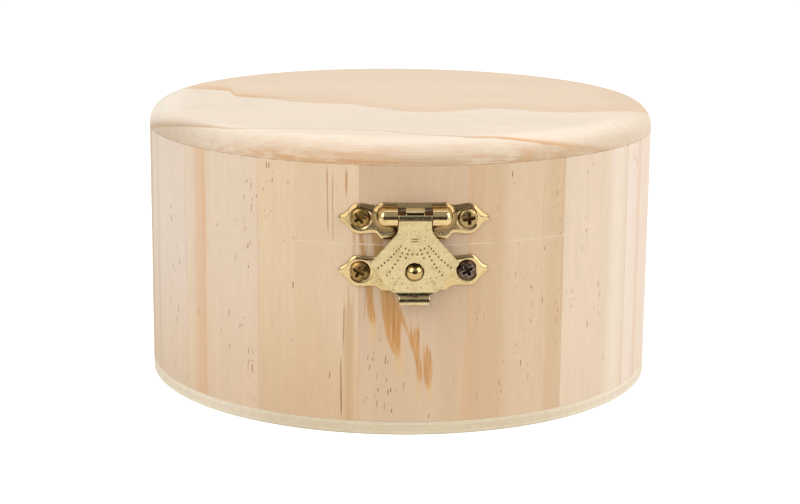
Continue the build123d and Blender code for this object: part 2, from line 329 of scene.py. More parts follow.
def makeGrainGroup():
    # rings round a pith line beside the board, fibres along it, and short resin canals; Z is along the grain
    tree, entry, leave = startGroup(
        "pineGrain",
        [
            ("Position", "v", None), ("Seed", "v", (0, 0, 0)), ("Pith X", "f", 40.0), ("Pith Y", "f", -30.0),
            ("Ring Gap", "f", 9.0), ("Ring Strength", "f", 0.5), ("Ring Shift", "f", 0.0),
            ("Wander", "f", 2.0), ("Fleck Amount", "f", 0.2), ("Turning Marks", "f", 0.0),
            ("Board Colour", "c", (0.7, 0.5, 0.35, 1)), ("Ring Colour", "c", (0.6, 0.36, 0.2, 1)),
            ("Fleck Colour", "c", (0.27, 0.1, 0.04, 1)),
        ],
        [("Colour", "c"), ("Roughness", "f"), ("Height", "f")],
    )
    placed = vectors("ADD", entry["Position"], entry["Seed"])
    fibre = noise(placed, (3.6, 3.6, 0.2), detail=3, roughness=0.66)
    streak = noise(placed, (0.7, 0.7, 0.03), detail=2)
    drift = noise(placed, (0.05, 0.05, 0.018), detail=1)
    wander = noise(placed, (0.055, 0.055, 0.011), detail=2)
    x, y, z = split(entry["Position"])
    side, deep = minus(x, entry["Pith X"]), minus(y, entry["Pith Y"])
    radius = calc("SQRT", plus(times(side, side), times(deep, deep)))
    along = plus(radius, swing(wander, times(entry["Wander"], 2.0)), entry["Ring Shift"])
    rings = calc("FRACT", calc("DIVIDE", along, entry["Ring Gap"]))
    late = times(fade(rings, 0.35, 0.92), fadeOut(rings, 0.94, 1.0), entry["Ring Strength"])
    late = times(late, fade(streak, 0.2, 0.7, 0.6, 1.2), clamp=True)

    # resin canals: thin upright cells, each with a short line at its middle
    leaning = mapped(placed, Rotation=(0, radians(-4), 0))
    cells = mapped(leaning, Scale=(1.7, 1.7, 0.4))
    voronoi = put(tree, "ShaderNodeTexVoronoi", {"Vector": cells, "Scale": 1.0, "Randomness": 1.0}).outputs
    across, _, up = split(vectors("SUBTRACT", cells, voronoi["Position"]))
    lot = put(tree, "ShaderNodeSeparateColor", {0: voronoi["Color"]}).outputs
    short = minus(fade(lot[1], 0.0, 1.0, 0.12, 0.45), calc("ABSOLUTE", up))
    here = times(fadeOut(calc("ABSOLUTE", across), 0.06, 0.32), fade(short, 0.0, 0.2))
    chosen = calc("GREATER_THAN", entry["Fleck Amount"], lot[0])
    fleck = times(here, chosen, fade(lot[2], 0.0, 1.0, 0.35, 1.0))

    # the lathe's faint level lines, here and there
    turned = noise(placed, (0.1, 0.1, 1.5), detail=3, roughness=0.6)
    turned = times(minus(turned, 0.5), fade(drift, 0.42, 0.6), entry["Turning Marks"])
    mottled = noise(placed, (0.55, 0.55, 0.2), detail=3, roughness=0.6)
    shade = plus(
        1.0, swing(fibre, 0.14), swing(streak, 0.08), swing(drift, 0.10), turned, swing(mottled, 0.09)
    )
    toned = put(
        tree, "ShaderNodeVectorMath", {0: entry["Board Colour"], "Scale": shade}, operation="SCALE"
    ).outputs[0]
    flecked = paint(paint(toned, late, entry["Ring Colour"]), fleck, entry["Fleck Colour"])
    height = minus(times(fibre, 0.6), times(fleck, 0.2))
    return endGroup(tree, leave, Colour=flecked, Roughness=fade(fibre, 0.2, 0.8, 0.52, 0.72), Height=height)


def frayedEnds(entry, z, stretch, start, end):
    # 1 between Bottom and Top, with fingers of fibre at both ends
    fingers = noise(entry["Position"], stretch, detail=2, roughness=0.7)
    ragged = plus(z, swing(fingers, times(entry["Fray"], 4.0)))
    return times(
        fade(minus(ragged, entry["Bottom"]), start, end), fade(minus(entry["Top"], ragged), start, end)
    )


def makeStreakGroup():
    # one long mark along the grain with frayed ends, placed one by one
    tree, entry, leave = startGroup(
        "grainStreak",
        [
            ("Position", "v", None), ("Middle", "f", 0.0), ("Half Width", "f", 1.0), ("Top", "f", 60.0),
            ("Bottom", "f", 10.0), ("Lean", "f", 0.0), ("Soft", "f", 0.3), ("Fray", "f", 3.0),
            ("Broken", "f", 0.5),
        ],
        [("Mask", "f")],
    )
    x, y, z = split(entry["Position"])
    waver = noise(entry["Position"], (0.35, 0.35, 0.05), detail=1)
    fine = noise(entry["Position"], (3.2, 3.2, 0.07), detail=2, roughness=0.6)
    slid = plus(minus(x, times(minus(entry["Top"], z), entry["Lean"])), swing(waver, 0.9))
    away = plus(
        calc("ABSOLUTE", minus(slid, entry["Middle"])), swing(fine, calc("MINIMUM", entry["Soft"], 0.7))
    )
    across = fade(away, entry["Half Width"], minus(entry["Half Width"], entry["Soft"]))
    gaps = minus(1.0, times(fade(fine, 0.45, 0.62), entry["Broken"]))
    ends = frayedEnds(entry, z, (1.7, 1.7, 0.004), -0.6, 2.4)
    return endGroup(tree, leave, Mask=times(across, ends, gaps, clamp=True))


def makeFlameGroup():
    # a brown mark between two drawn edges, split into fibres
    tree, entry, leave = startGroup(
        "grainFlame",
        [
            ("Position", "v", None), ("Left", "f", -1.0), ("Right", "f", 1.0), ("Top", "f", 50.0),
            ("Bottom", "f", 20.0), ("Soft", "f", 0.7), ("Fray", "f", 2.2), ("Broken", "f", 0.45),
        ],
        [("Mask", "f"), ("Fibre", "f")],
    )
    x, y, z = split(entry["Position"])
    fine = noise(entry["Position"], (3.4, 3.4, 0.1), detail=3, roughness=0.65)
    x = plus(x, swing(fine, entry["Soft"]))
    half = times(entry["Soft"], 0.5)
    left, right = (
        fade(inward, times(half, -1.0), half)
        for inward in (minus(x, entry["Left"]), minus(entry["Right"], x))
    )
    gaps = minus(1.0, times(fade(fine, 0.5, 0.68), entry["Broken"]))
    ends = frayedEnds(entry, z, (2.1, 2.1, 0.01), -0.5, 1.8)
    mask = times(left, right, ends, gaps, clamp=True)
    return endGroup(tree, leave, Mask=mask, Fibre=fade(fine, 0.34, 0.52))


grainGroup = makeGrainGroup()
streakGroup = makeStreakGroup()
flameGroup = makeFlameGroup()


def followLine(value, points, low=-90.0, high=40.0, start=-66.0, end=66.0):
    # a measured run of grain as a curve: value from start to end gives low to high
    share = calc("DIVIDE", minus(value, start), end - start)
    node = put(value.id_data, "ShaderNodeFloatCurve", {"Value": share})
    curve = node.mapping.curves[0]
    spots = [((x - start) / (end - start), (y - low) / (high - low)) for x, y in points]
    curve.points[0].location, curve.points[1].location = spots[0], spots[-1]
    for spot in spots[1:-1]:
        curve.points.new(*spot)
    node.mapping.update()
    return plus(times(node.outputs[0], high - low), low)


streakColours = {
    "orange": (220, 172, 126), "brown": (190, 136, 88), "dark": (140, 96, 62), "tan": (207, 170, 128),
    "halo": (224, 188, 134), "pale": (240, 223, 204),
    "flameHigh": (184, 138, 80), "flameLow": (208, 152, 90), "flameDark": (180, 122, 60),
}

# The front stave is 1, then round towards the right. Degrees count from the front, the rest is mm.
# marks: kind, degrees, half width, top, bottom, lean, strength, fray
# patches of resin canals: degrees, half width, top, bottom, amount
# flames: top, bottom, strength, then the left and the right edge as z, x across the stave
staveLooks = {
    1: {
        "board": (212, 182, 150), "low": (219, 191, 159),
        "pith": (60, -20), "gap": 14.0, "rings": 0.08, "shift": 2.0, "flecks": 0.003,
        "marks": [
            ("halo", -8.2, 1.1, 29, 22, 0, 0.6, 1.6), ("halo", -2.9, 1.6, 22, 14, 0, 0.6, 2.0),
            ("halo", 1.3, 1.0, 14, 7.5, 0, 0.5, 1.6), ("halo", 3.5, 1.0, 13, 6.5, 0, 0.5, 1.6),
            ("brown", 0.65, 0.2, 30.5, 27.8, 0, 0.6, 0.6), ("dark", 0.95, 0.3, 25.8, 21.8, 0.14, 0.6, 0.5),
            ("dark", -9.6, 0.28, 48.6, 28.0, -0.02, 0.35, 1), ("orange", 10.75, 0.7, 24, 0, 0, 0.5, 2),
            # the broad tan mark low on the right: partly grain, partly the hasp's shadow painted in
            ("tan", 8.0, 4.6, 36, 0, 0, 0.3, 3),
        ],
        "flames": [
            (52, 25.9, 0.95,
             [(24, -9.0), (26, -9.3), (27.3, -10.0), (29.1, -10.55), (33.1, -10.85), (36.1, -11.1),
              (43.2, -12.1), (48.3, -12.6), (56, -12.7)],
             [(24, -9.3), (26, -9.1), (27, -8.8), (28.4, -8.86), (31.8, -9.3), (36.2, -9.6), (43.2, -10.95),
              (48.3, -11.85), (56, -12.2)]),
            (50, 18.3, 0.95,
             [(17, -3.7), (18.9, -4.1), (20.7, -5.0), (23.9, -6.15), (27.1, -6.8), (30.6, -7.35),
              (35.3, -7.8), (45.6, -9.4), (56, -10.6)],
             [(17, -3.2), (18.9, -2.9), (21.3, -2.85), (25, -2.85), (27.9, -2.7), (30.9, -3.5), (32.5, -4.05),
              (35.4, -4.7), (45.6, -7.0), (56, -8.6)]),
            (33, 24.8, 0.8,
             [(24, -1.6), (25, -1.8), (27.4, -2.6), (29.8, -3.4), (34, -4.4)],
             [(24, -1.4), (25, -1.25), (27.2, -1.8), (29.8, -2.6), (34, -3.8)]),
            (26.4, 11.4, 0.9,
             [(10, 1.4), (11.6, 1.35), (13.2, 1.1), (15.9, 0.85), (19.7, 0.1), (22.9, -0.9), (25.6, -1.3),
              (28, -1.4)],
             [(10, 1.45), (11.6, 1.6), (13.2, 2.1), (15.9, 2.15), (18.6, 1.7), (22.4, 1.45), (25.6, 1.4),
              (28, 0.8)]),
            (22.4, 10.4, 0.85,
             [(9, 3.7), (10.6, 3.4), (12.6, 2.8), (15.9, 2.45), (21.5, 2.4), (24, 2.6)],
             [(9, 3.9), (10.6, 4.15), (13.1, 4.5), (16.6, 4.6), (19.6, 4.25), (21.5, 3.6), (24, 3.0)]),
        ],
        "patches": [
            (-6.5, 6.0, 25, 5, 0.13), (1, 4.5, 9, 2, 0.12), (-3.6, 1.6, 11, 7, 0.45), (8, 3, 16, 5, 0.12),
        ],
    },
    2: {
        "board": (220, 193, 160), "pith": (70, 10), "gap": 12.0, "rings": 0.14, "shift": 0.0, "flecks": 0.006,
        "marks": [
            ("orange", 11.5, 1.5, 70, 0, 0, 0.5, 1), ("tan", 13.2, 2.8, 70, 0, 0, 0.6, 5),
            ("tan", 17.0, 4.2, 70, 0, 0, 0.42, 6), ("brown", 11.75, 0.25, 70, 40, 0, 0.3, 2),
            ("tan", 31.2, 3.4, 70, 0, 0, 0.3, 2), ("tan", 33.2, 1.2, 70, 0, 0, 0.12, 2),
            ("orange", 28.2, 0.3, 60, 8, 0, 0.5, 2), ("brown", 33.3, 0.22, 70, 22, 0, 0.3, 4),
        ],
        "patches": [
            (13.2, 1.2, 62, 54, 0.45), (21, 1.8, 66, 59, 0.4), (17.8, 1.4, 59, 53, 0.5),
            (17.5, 4.0, 53, 45, 0.14), (31.4, 1.8, 61, 53, 0.4), (32.4, 1.3, 50, 39, 0.4),
            (21, 2.2, 40, 32, 0.25), (12.8, 1.4, 33, 24, 0.4), (15.6, 1.2, 32, 24, 0.4),
            (32.6, 1.0, 32, 24, 0.35), (17, 5.0, 14, 3, 0.15), (24, 6.0, 30, 6, 0.05),
        ],
    },
    3: {
        "board": (229, 206, 179),
        "pith": (20, -60), "gap": 16.0, "rings": 0.08, "shift": 3.0, "flecks": 0.004,
        "marks": [("pale", 52, 6, 70, 0, 0, 0.8, 4)],
        "patches": [
            (53, 3.4, 60, 50, 0.3), (41, 1.4, 66, 59, 0.35), (37, 2.0, 33, 24, 0.35), (45, 3.0, 34, 22, 0.1),
            (40, 3.0, 58, 40, 0.06),
        ],
    },
    4: {
        "board": (239, 220, 203),
        "pith": (-30, -50), "gap": 11.0, "rings": 0.15, "shift": 0.0, "flecks": 0.005,
        "marks": [("orange", 63.5, 2.2, 70, 0, 0, 0.3, 3)],
        "patches": [(61, 2.6, 64, 52, 0.3)],
    },
    14: {
        "board": (230, 211, 193), "low": (226, 202, 174),
        "pith": (-55, -30), "gap": 13.0, "rings": 0.10, "shift": 1.0, "flecks": 0.005,
        "marks": [("tan", -72, 1.4, 70, 0, 0, 0.3, 3)],
        "patches": [(-63, 5, 52, 8, 0.08)],
    },
    15: {
        "board": (229, 206, 180), "low": (226, 199, 168),
        "pith": (-80, 5), "gap": 15.0, "rings": 0.10, "shift": 6.0, "flecks": 0.004,
        "marks": [("orange", -50.8, 3.4, 70, 0, 0, 0.42, 2), ("orange", -49.4, 1.1, 70, 0, 0, 0.4, 2)],
        "patches": [
            (-36.6, 1.7, 49, 41, 0.55), (-35.8, 1.0, 40, 36, 0.5), (-38, 1.4, 26, 21, 0.35),
            (-35.6, 1.6, 20, 11, 0.7), (-34.6, 0.8, 7, 3, 0.5), (-36, 3.4, 64, 52, 0.3),
            (-42, 5.0, 60, 8, 0.03),
        ],
    },
    16: {
        "board": (229, 201, 167), "low": (221, 190, 153),
        "pith": (65, -8), "gap": 13.0, "rings": 0.14, "shift": 4.0, "flecks": 0.004,
        "marks": [
            ("brown", -17.9, 0.22, 64, 48, 0.012, 0.9, 1.5), ("brown", -16.8, 0.2, 62, 46, 0.01, 0.8, 1.5),
            ("brown", -13.9, 0.35, 64, 57, 0, 0.9, 1), ("dark", -14.2, 0.25, 30.8, 20.6, 0, 0.75, 1.2),
            ("dark", -14.9, 0.25, 18.4, 3.0, 0, 0.75, 1.2), ("tan", -13.2, 1.7, 34, 0, 0, 0.8, 6),
            ("brown", -12.2, 0.8, 56, 36, 0, 0.4, 4),
        ],
        "patches": [(-31, 2.4, 64, 50, 0.3), (-26, 5, 60, 20, 0.02)],
    },
}
# the sides and the back, which follow from their number
otherBoards = [
    (226, 199, 168), (232, 210, 184), (220, 190, 156), (230, 203, 172), (224, 194, 160), (234, 214, 190),
    (222, 196, 166), (229, 200, 168), (217, 188, 156),
]
for number, tone in zip(range(5, 14), otherBoards):
    middle, drop = staveTurn * (number - 1), number % 3 * 18
    kind = ("orange", "tan")[number % 2]
    staveLooks[number] = {
        "board": tone, "pith": ((-1) ** number * (30 + number * 4), -40 + number * 5),
        "gap": 9 + number % 4 * 2,
        "rings": 0.15 + number % 3 * 0.08, "shift": number * 1.7, "flecks": 0.006 + number % 3 * 0.01,
        "marks": [(kind, middle - 6 + number % 5 * 3, 0.8 + number % 3 * 0.5, 70, 0, 0, 0.45, 3)],
        "patches": [(middle + 5 - number % 4 * 3, 2.5, 60 - drop, 44 - drop, 0.3)],
    }


def finishWood(tree, shade, grain):
    finishMaterial(tree, shade, grain, 0.55, 0.00006, **{"Specular IOR Level": 0.35})


def darker(tone, red, green, blue):
    return colour(*[int(c * k) for c, k in zip(tone, (red, green, blue))])


def glueJoint(place, share, shade, most=0.95):
    # the broken dark line between the ring and the top
    uneven = noise(place, (0.7, 0.7, 3.0), detail=3, roughness=0.7)
    return paint(shade, times(share, fade(uneven, 0.4, 0.6, 0.15, most)), (140, 100, 68), 0.5)


def makeStavePine(number, look):
    pine, tree, place = startMaterial(f"pineStave{number:02d}")
    turn = staveTurn * (number - 1)
    turn = turn - 360 if turn > 180 else turn
    # a stave's own directions: X across it, Y away from the middle of the box, Z up
    place = vectors("MULTIPLY", mapped(place, Rotation=(0, 0, radians(-turn))), (1, -1, 1))
    x, y, z = split(place)
    outside = fade(y, 58.0, 61.0)

    def streak(degrees, half, top, bottom, lean, fray, soft, broken):
        values = {
            "Position": place, "Middle": wallRadius * sin(radians(degrees - turn)), "Half Width": half,
            "Top": top, "Bottom": bottom, "Lean": lean, "Soft": soft, "Fray": fray, "Broken": broken,
        }
        return times(put(tree, "ShaderNodeGroup", values, node_tree=streakGroup).outputs[0], outside)

    flecks = look["flecks"]
    for degrees, half, top, bottom, amount in look["patches"]:
        patch = streak(degrees, half, top, bottom, 0.0, 3.0, min(3.0, half * 0.7), 0.0)
        flecks = plus(flecks, times(patch, amount))
    board = colour(*look["board"])
    if "low" in look:  # some boards grow warmer towards the floor
        drift = plus(z, times(noise(place, (0.08, 0.08, 0.02), detail=1), 16.0))
        board = paint(look["board"], fadeOut(drift, 14.0, 50.0), look["low"])
    grain = put(tree, "ShaderNodeGroup", {
        "Position": place, "Seed": (number * 37.1, number * 11.3, number * 91.7), "Pith X": look["pith"][0],
        "Pith Y": look["pith"][1], "Ring Gap": look["gap"], "Ring Strength": look["rings"],
        "Ring Shift": look["shift"], "Fleck Amount": flecks, "Turning Marks": 0.07, "Board Colour": board,
        "Ring Colour": darker(look["board"], 0.95, 0.86, 0.74),
    }, node_tree=grainGroup).outputs
    shade = grain["Colour"]
    for top, bottom, strength, left, right in look.get("flames", []):
        left, right = (followLine(z, edge, -14.0, 14.0, 0.0, 66.0) for edge in (left, right))
        values = {"Position": place, "Left": left, "Right": right, "Top": top, "Bottom": bottom}
        flame = put(tree, "ShaderNodeGroup", values, node_tree=flameGroup).outputs
        fibres = times(minus(1.0, flame["Fibre"]), fade(z, bottom, bottom + 4, 0.45, 0.95))
        tone = paint(streakColours["flameLow"], fibres, streakColours["flameDark"])
        tone = paint(tone, fade(z, 22.0, 46.0), streakColours["flameHigh"])
        shade = paint(shade, times(flame["Mask"], outside), tone, strength)
    for kind, degrees, half, top, bottom, lean, strength, fray in look["marks"]:
        soft, broken = (half * 0.8, 0.2) if half < 0.5 else (half * 0.85, 0.12)
        mask = streak(degrees, half, top, bottom, lean, fray, soft, broken)
        shade = paint(shade, mask, streakColours[kind], strength)

    # glue lines beside the stave, the joint under the top panel, and a painted highlight along the saw cut
    limit = radians(staveTurn / 2)
    edge = minus(times(y, sin(limit)), times(calc("ABSOLUTE", x), cos(limit)))
    broken = noise(place, (0.9, 0.9, 0.12), detail=2)
    glue = times(fadeOut(edge, 0.03, 0.16), fade(broken, 0.35, 0.65, 0.25, 0.8))
    shade = paint(shade, glue, (176, 136, 98), 0.5)
    shade = glueJoint(place, fade(z, 64.08, 64.24), shade, 0.9)
    cut = fadeOut(calc("ABSOLUTE", minus(z, sawHeight)), 0.08, 0.26)
    cut = times(cut, fade(noise(place, (0.12, 0.12, 0.5), detail=3), 0.35, 0.65, 0.15, 0.6))
    finishWood(tree, paint(shade, cut, (243, 226, 203)), grain)
    return pine


staveMaterials = {number: makeStavePine(number, look) for number, look in staveLooks.items()}
for name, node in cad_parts.items():
    if "stave" in name:
        node.material_slots[0].material = staveMaterials[int(name[-2:])]
print("staves have their pine")


topLook = {
    "sapwood": (243, 226, 206),
    "heartwood": (239, 215, 189),
    "slope": 4.0,  # the growth rings lie nearly flat: a step of 1 mm down moves them 4 mm back
    "heartEdge": [
        (-66, 19), (-56.7, 16.3), (-50, 15.5), (-45, 12.1), (-43.3, 3.7), (-38.2, 0.8), (-32.3, -2.2),
        (-28.1, -6), (-22.2, -8.1), (-13.8, -10.6), (-7.1, -16.1), (-0.3, -22), (8.1, -23.2), (13.1, -21.5),
        (18.2, -18.2), (29.1, -19), (32.5, -22), (58.6, -21.5), (66, -21),
    ],
    "frontLine": [
        (-66, -36), (-48.3, -45.1), (-42.4, -48.1), (-30.6, -49.3), (-18.9, -50.6), (-7.1, -52.7),
        (1.3, -57.7), (11.4, -60.7), (21.5, -62.6), (34, -67), (48, -69), (66, -71),
    ],
    "lineWidth": [(-66, 9), (-50, 6), (-40, 2.2), (-20, 1.6), (0, 1.4), (10, 2), (20, 4), (35, 6), (66, 8)],
    "lineStrength": [
        (-66, 0.9), (-50, 0.8), (-40, 0.42), (-20, 0.36), (0, 0.5), (12, 0.7), (22, 0.95), (35, 0.95),
        (45, 0.6), (66, 0.5),
    ],
    "rimStrength": [
        (-66, 0.6), (-50, 0.6), (-40, 0.75), (-28, 0.95), (18, 0.95), (27, 1.0), (40, 1.0), (52, 0.85),
        (66, 0.8),
    ],
}


def makeTopPine(look):
    pine, tree, place = startMaterial("pineTop")
    x, y, z = split(place)
    ripple = noise(place, (0.05, 0.35, 0.35), detail=3, roughness=0.6)
    fine = noise(place, (0.35, 1.6, 1.6), detail=3, roughness=0.65)
    ring = plus(y, times(minus(z, boxTop), look["slope"]), swing(ripple, 2.0), swing(fine, 1.6))
    heart = minus(ring, followLine(x, look["heartEdge"]))  # mm behind the heartwood's edge
    front = minus(ring, followLine(x, look["frontLine"]))  # mm behind the brown line at the front
    board = paint(look["sapwood"], fade(heart, -0.9, 0.9), look["heartwood"])
    board = paint(board, times(fadeOut(heart, 0.2, 16.0), fade(heart, -0.5, 0.5)), (228, 192, 150), 0.35)

    # the brown line, more orange right of the middle, and the pale band before it
    spent = calc("DIVIDE", front, followLine(x, look["lineWidth"], 0.0, 10.0))
    line = times(
        fade(front, -0.5, 0.1), fadeOut(spent, 0.0, 1.0), followLine(x, look["lineStrength"], 0.0, 1.0)
    )
    lineTone = paint((205, 168, 126), band(x, 10.0, 22.0, 34.0, 42.0), (222, 164, 104))
    board = paint(board, line, lineTone)
    light = times(band(front, -4.0, -0.8, -0.6, -0.1), fade(x, 14.0, 28.0, 0.5, 0.0))
    board = paint(board, light, (248, 235, 217))

    # the rounded edge cuts through older rings and is darker, partly its own tone and partly painted shade
    # where it turns down, with strokes of both tones
    down = put(tree, "ShaderNodeMapRange", {"Value": z, "From Min": 69.9, "From Max": 64.8}).outputs[0]
    outside = fade(fromMiddle(place), 56.0, 60.0)
    rim = times(
        down, followLine(x, look["rimStrength"], 0.0, 1.0), fadeOut(front, -1.0, 3.0, 0.35),
        calc("MAXIMUM", fadeOut(front, 6.0, 14.0), fade(x, -40.0, -20.0)), fadeOut(y, -30.0, -5.0, 0.4),
        outside,
    )
    edgeTone = paint((212, 170, 126), fade(x, -14.0, 4.0), (202, 171, 136))
    edgeTone = paint(edgeTone, fadeOut(x, -48.0, -30.0), (212, 186, 156))
    board = paint(board, rim, edgeTone)
    growth = calc("ABSOLUTE", minus(calc("FRACT", times(ring, 0.62)), 0.5))
    board = paint(
        board, times(fadeOut(growth, 0.0, 0.3), rim, fade(ripple, 0.35, 0.6)), (186, 148, 106), 0.45
    )
    drawn = noise(place, (0.045, 0.5, 0.95), detail=4, roughness=0.6, shift=(3, 1, 2))
    board = paint(board, times(fade(drawn, 0.5, 0.62), rim), (212, 156, 108), 0.55)
    board = paint(board, times(fadeOut(drawn, 0.38, 0.48), rim), (240, 220, 194), 0.45)

    # a mottled corner at the left; then painted shade on the rounding's left, painted light at the far left,
    # painted shade on the rounding's right, and painted shade on the front right, where it tones down the
    # lamp's highlight
    cloud = fade(noise(place, (0.22, 0.6, 0.6), detail=3), 0.4, 0.62, 0.25, 1.0)
    mottle = times(band(x, -60.0, -50.0, -38.0, -26.0), band(heart, -0.5, 0.8, 2.0, 9.0), cloud)
    for mask, tone, strength in (
        (mottle, (226, 182, 134), 0.85),
        (times(fadeOut(x, -58.0, -44.0), fadeOut(front, 3.0, 13.0)), (196, 172, 146), 0.5),
        (times(fadeOut(x, -62.0, -52.0), fade(front, 12.0, 20.0)), (254, 244, 230), 0.6),
        (times(fade(x, 50.0, 58.0), fade(front, 6.0, 12.0)), (222, 196, 162), 0.2),
        (times(fade(x, 22.0, 32.0), fadeOut(z, 66.0, 69.4), fadeOut(y, -40.0, -24.0)), (206, 178, 144), 0.4),
    ):
        board = paint(board, mask, tone, strength)
    lying = mapped(place, Rotation=(0, -quarterTurn, radians(-3)))
    grain = put(tree, "ShaderNodeGroup", {
        "Position": lying, "Board Colour": board, "Ring Strength": 0.0, "Seed": (11.0, 5.0, 31.0),
        "Fleck Amount": 0.0,
    }, node_tree=grainGroup).outputs
    finishWood(tree, glueJoint(place, times(fadeOut(z, 64.36, 64.48), outside), grain["Colour"]), grain)
    return pine


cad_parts["top_panel"].material_slots[0].material = makeTopPine(topLook)


baseLook = {
    "plies": (1.05, 2.15),  # heights of the two glue lines
    "thick": 3.2,
    "outer": (241, 230, 208),
    "inner": (238, 223, 201),
    "frontAndBackShade": (0.84, 0.81, 0.73),  # painted shade that darkens the front and back, where the plies are cut along the grain
    # painted light on the eased top edge, against the shade at the joint with the staves
    "eased": (250, 238, 218),
    "sheet": (238, 220, 194),
}


def makePlywood(look):
    plywood, tree, place = startMaterial("threePlyBase")
    x, y, height = split(place)
    low, high = look["plies"]
    level = plus(height, swing(noise(place, (0.08, 0.08, 0.5), detail=1), 0.35))
    core = band(level, low - 0.06, low + 0.06, high - 0.06, high + 0.06)
    outward = mapped(place, Rotation=(0, -quarterTurn, 0))
    crosswise = mapped(place, Rotation=(quarterTurn, 0, 0))

    def veneer(vector, tone, seed, strength, gap=1.9, wander=9.0):
        return put(tree, "ShaderNodeGroup", {
            "Position": vector, "Seed": seed, "Pith X": 4.0, "Pith Y": 30.0, "Ring Gap": gap,
            "Ring Strength": strength, "Wander": wander, "Fleck Amount": 0.0, "Board Colour": colour(*tone),
            "Ring Colour": darker(tone, 0.92, 0.85, 0.74),
        }, node_tree=grainGroup).outputs

    long = veneer(outward, look["outer"], (3, 8, 1), 0.14)
    short = veneer(crosswise, look["inner"], (9, 2, 7), 0.2)
    shade = paint(long["Colour"], core, short["Colour"])
    shade = paint(
        shade, fadeOut(calc("ABSOLUTE", x), 24.0, 52.0), vectors("MULTIPLY", shade, look["frontAndBackShade"])
    )
    glueLow, glueHigh = (fadeOut(calc("ABSOLUTE", minus(level, ply)), 0.03, 0.13) for ply in look["plies"])
    shade = paint(shade, plus(glueLow, glueHigh), (160, 122, 84), 0.12)
    # painted light on the eased top edge, where the joint with the staves lies in shade
    shade = paint(shade, fade(height, look["thick"] - 0.3, look["thick"] - 0.2), look["eased"])
    # the peeled face, seen inside the box and from below
    sheet = veneer(outward, look["sheet"], (21, 4, 9), 0.55, 8.0, 26.0)
    face = calc(
        "MAXIMUM", fade(height, look["thick"] - 0.08, look["thick"] - 0.01), fadeOut(height, 0.01, 0.08)
    )
    shade = paint(shade, times(face, fadeOut(fromMiddle(place), 62.0, 63.0)), sheet["Colour"])
    finishWood(tree, shade, long)
    return plywood


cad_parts["base_panel"].material_slots[0].material = makePlywood(baseLook)
print("top and base have their wood")


# Metals

def makeWearGroup():
    # stamped metal: slow tarnish, fine scratches and handling marks
    tree, entry, leave = startGroup(
        "stampedMetal",
        [
            ("Position", "v", None), ("Seed", "v", (0, 0, 0)), ("Metal Colour", "c", (0.8, 0.68, 0.38, 1)),
            ("Tarnish Colour", "c", (0.45, 0.3, 0.12, 1)), ("Tarnish", "f", 0.2), ("Scratches", "f", 0.5),
            ("Smooth", "f", 0.2), ("Dull", "f", 0.4),
        ],
        [("Colour", "c"), ("Roughness", "f"), ("Height", "f")],
    )
    placed = vectors("ADD", entry["Position"], entry["Seed"])
    cloud = noise(placed, (0.35, 0.35, 0.35), detail=3, roughness=0.6)
    spots = noise(placed, (2.4, 2.4, 2.4), detail=3, roughness=0.65)
    lines = 0.0
    for turn, gap in ((25, 0.013), (-48, 0.011), (80, 0.009)):
        turned = mapped(placed, Rotation=(0, radians(turn), 0))
        drawn = noise(turned, (0.14, 0.6, 2.2), detail=1, shift=(turn, 3, 7))
        lines = calc("MAXIMUM", lines, fadeOut(calc("ABSOLUTE", minus(drawn, 0.5)), gap * 0.3, gap))
    scratch = times(lines, fade(spots, 0.42, 0.6), entry["Scratches"], clamp=True)
    stain = times(fade(plus(times(cloud, 0.8), times(spots, 0.2)), 0.45, 0.7), entry["Tarnish"])
    dark = plus(stain, times(scratch, 0.55), clamp=True)
    dull = times(minus(entry["Dull"], entry["Smooth"]), fade(spots, 0.3, 0.7))
    shade = paint(entry["Metal Colour"], dark, entry["Tarnish Colour"])
    roughness = plus(entry["Smooth"], dull, times(scratch, 0.15))
    height = minus(times(cloud, 0.5), times(scratch, 0.3))
    return endGroup(tree, leave, Colour=shade, Roughness=roughness, Height=height)


wearGroup = makeWearGroup()

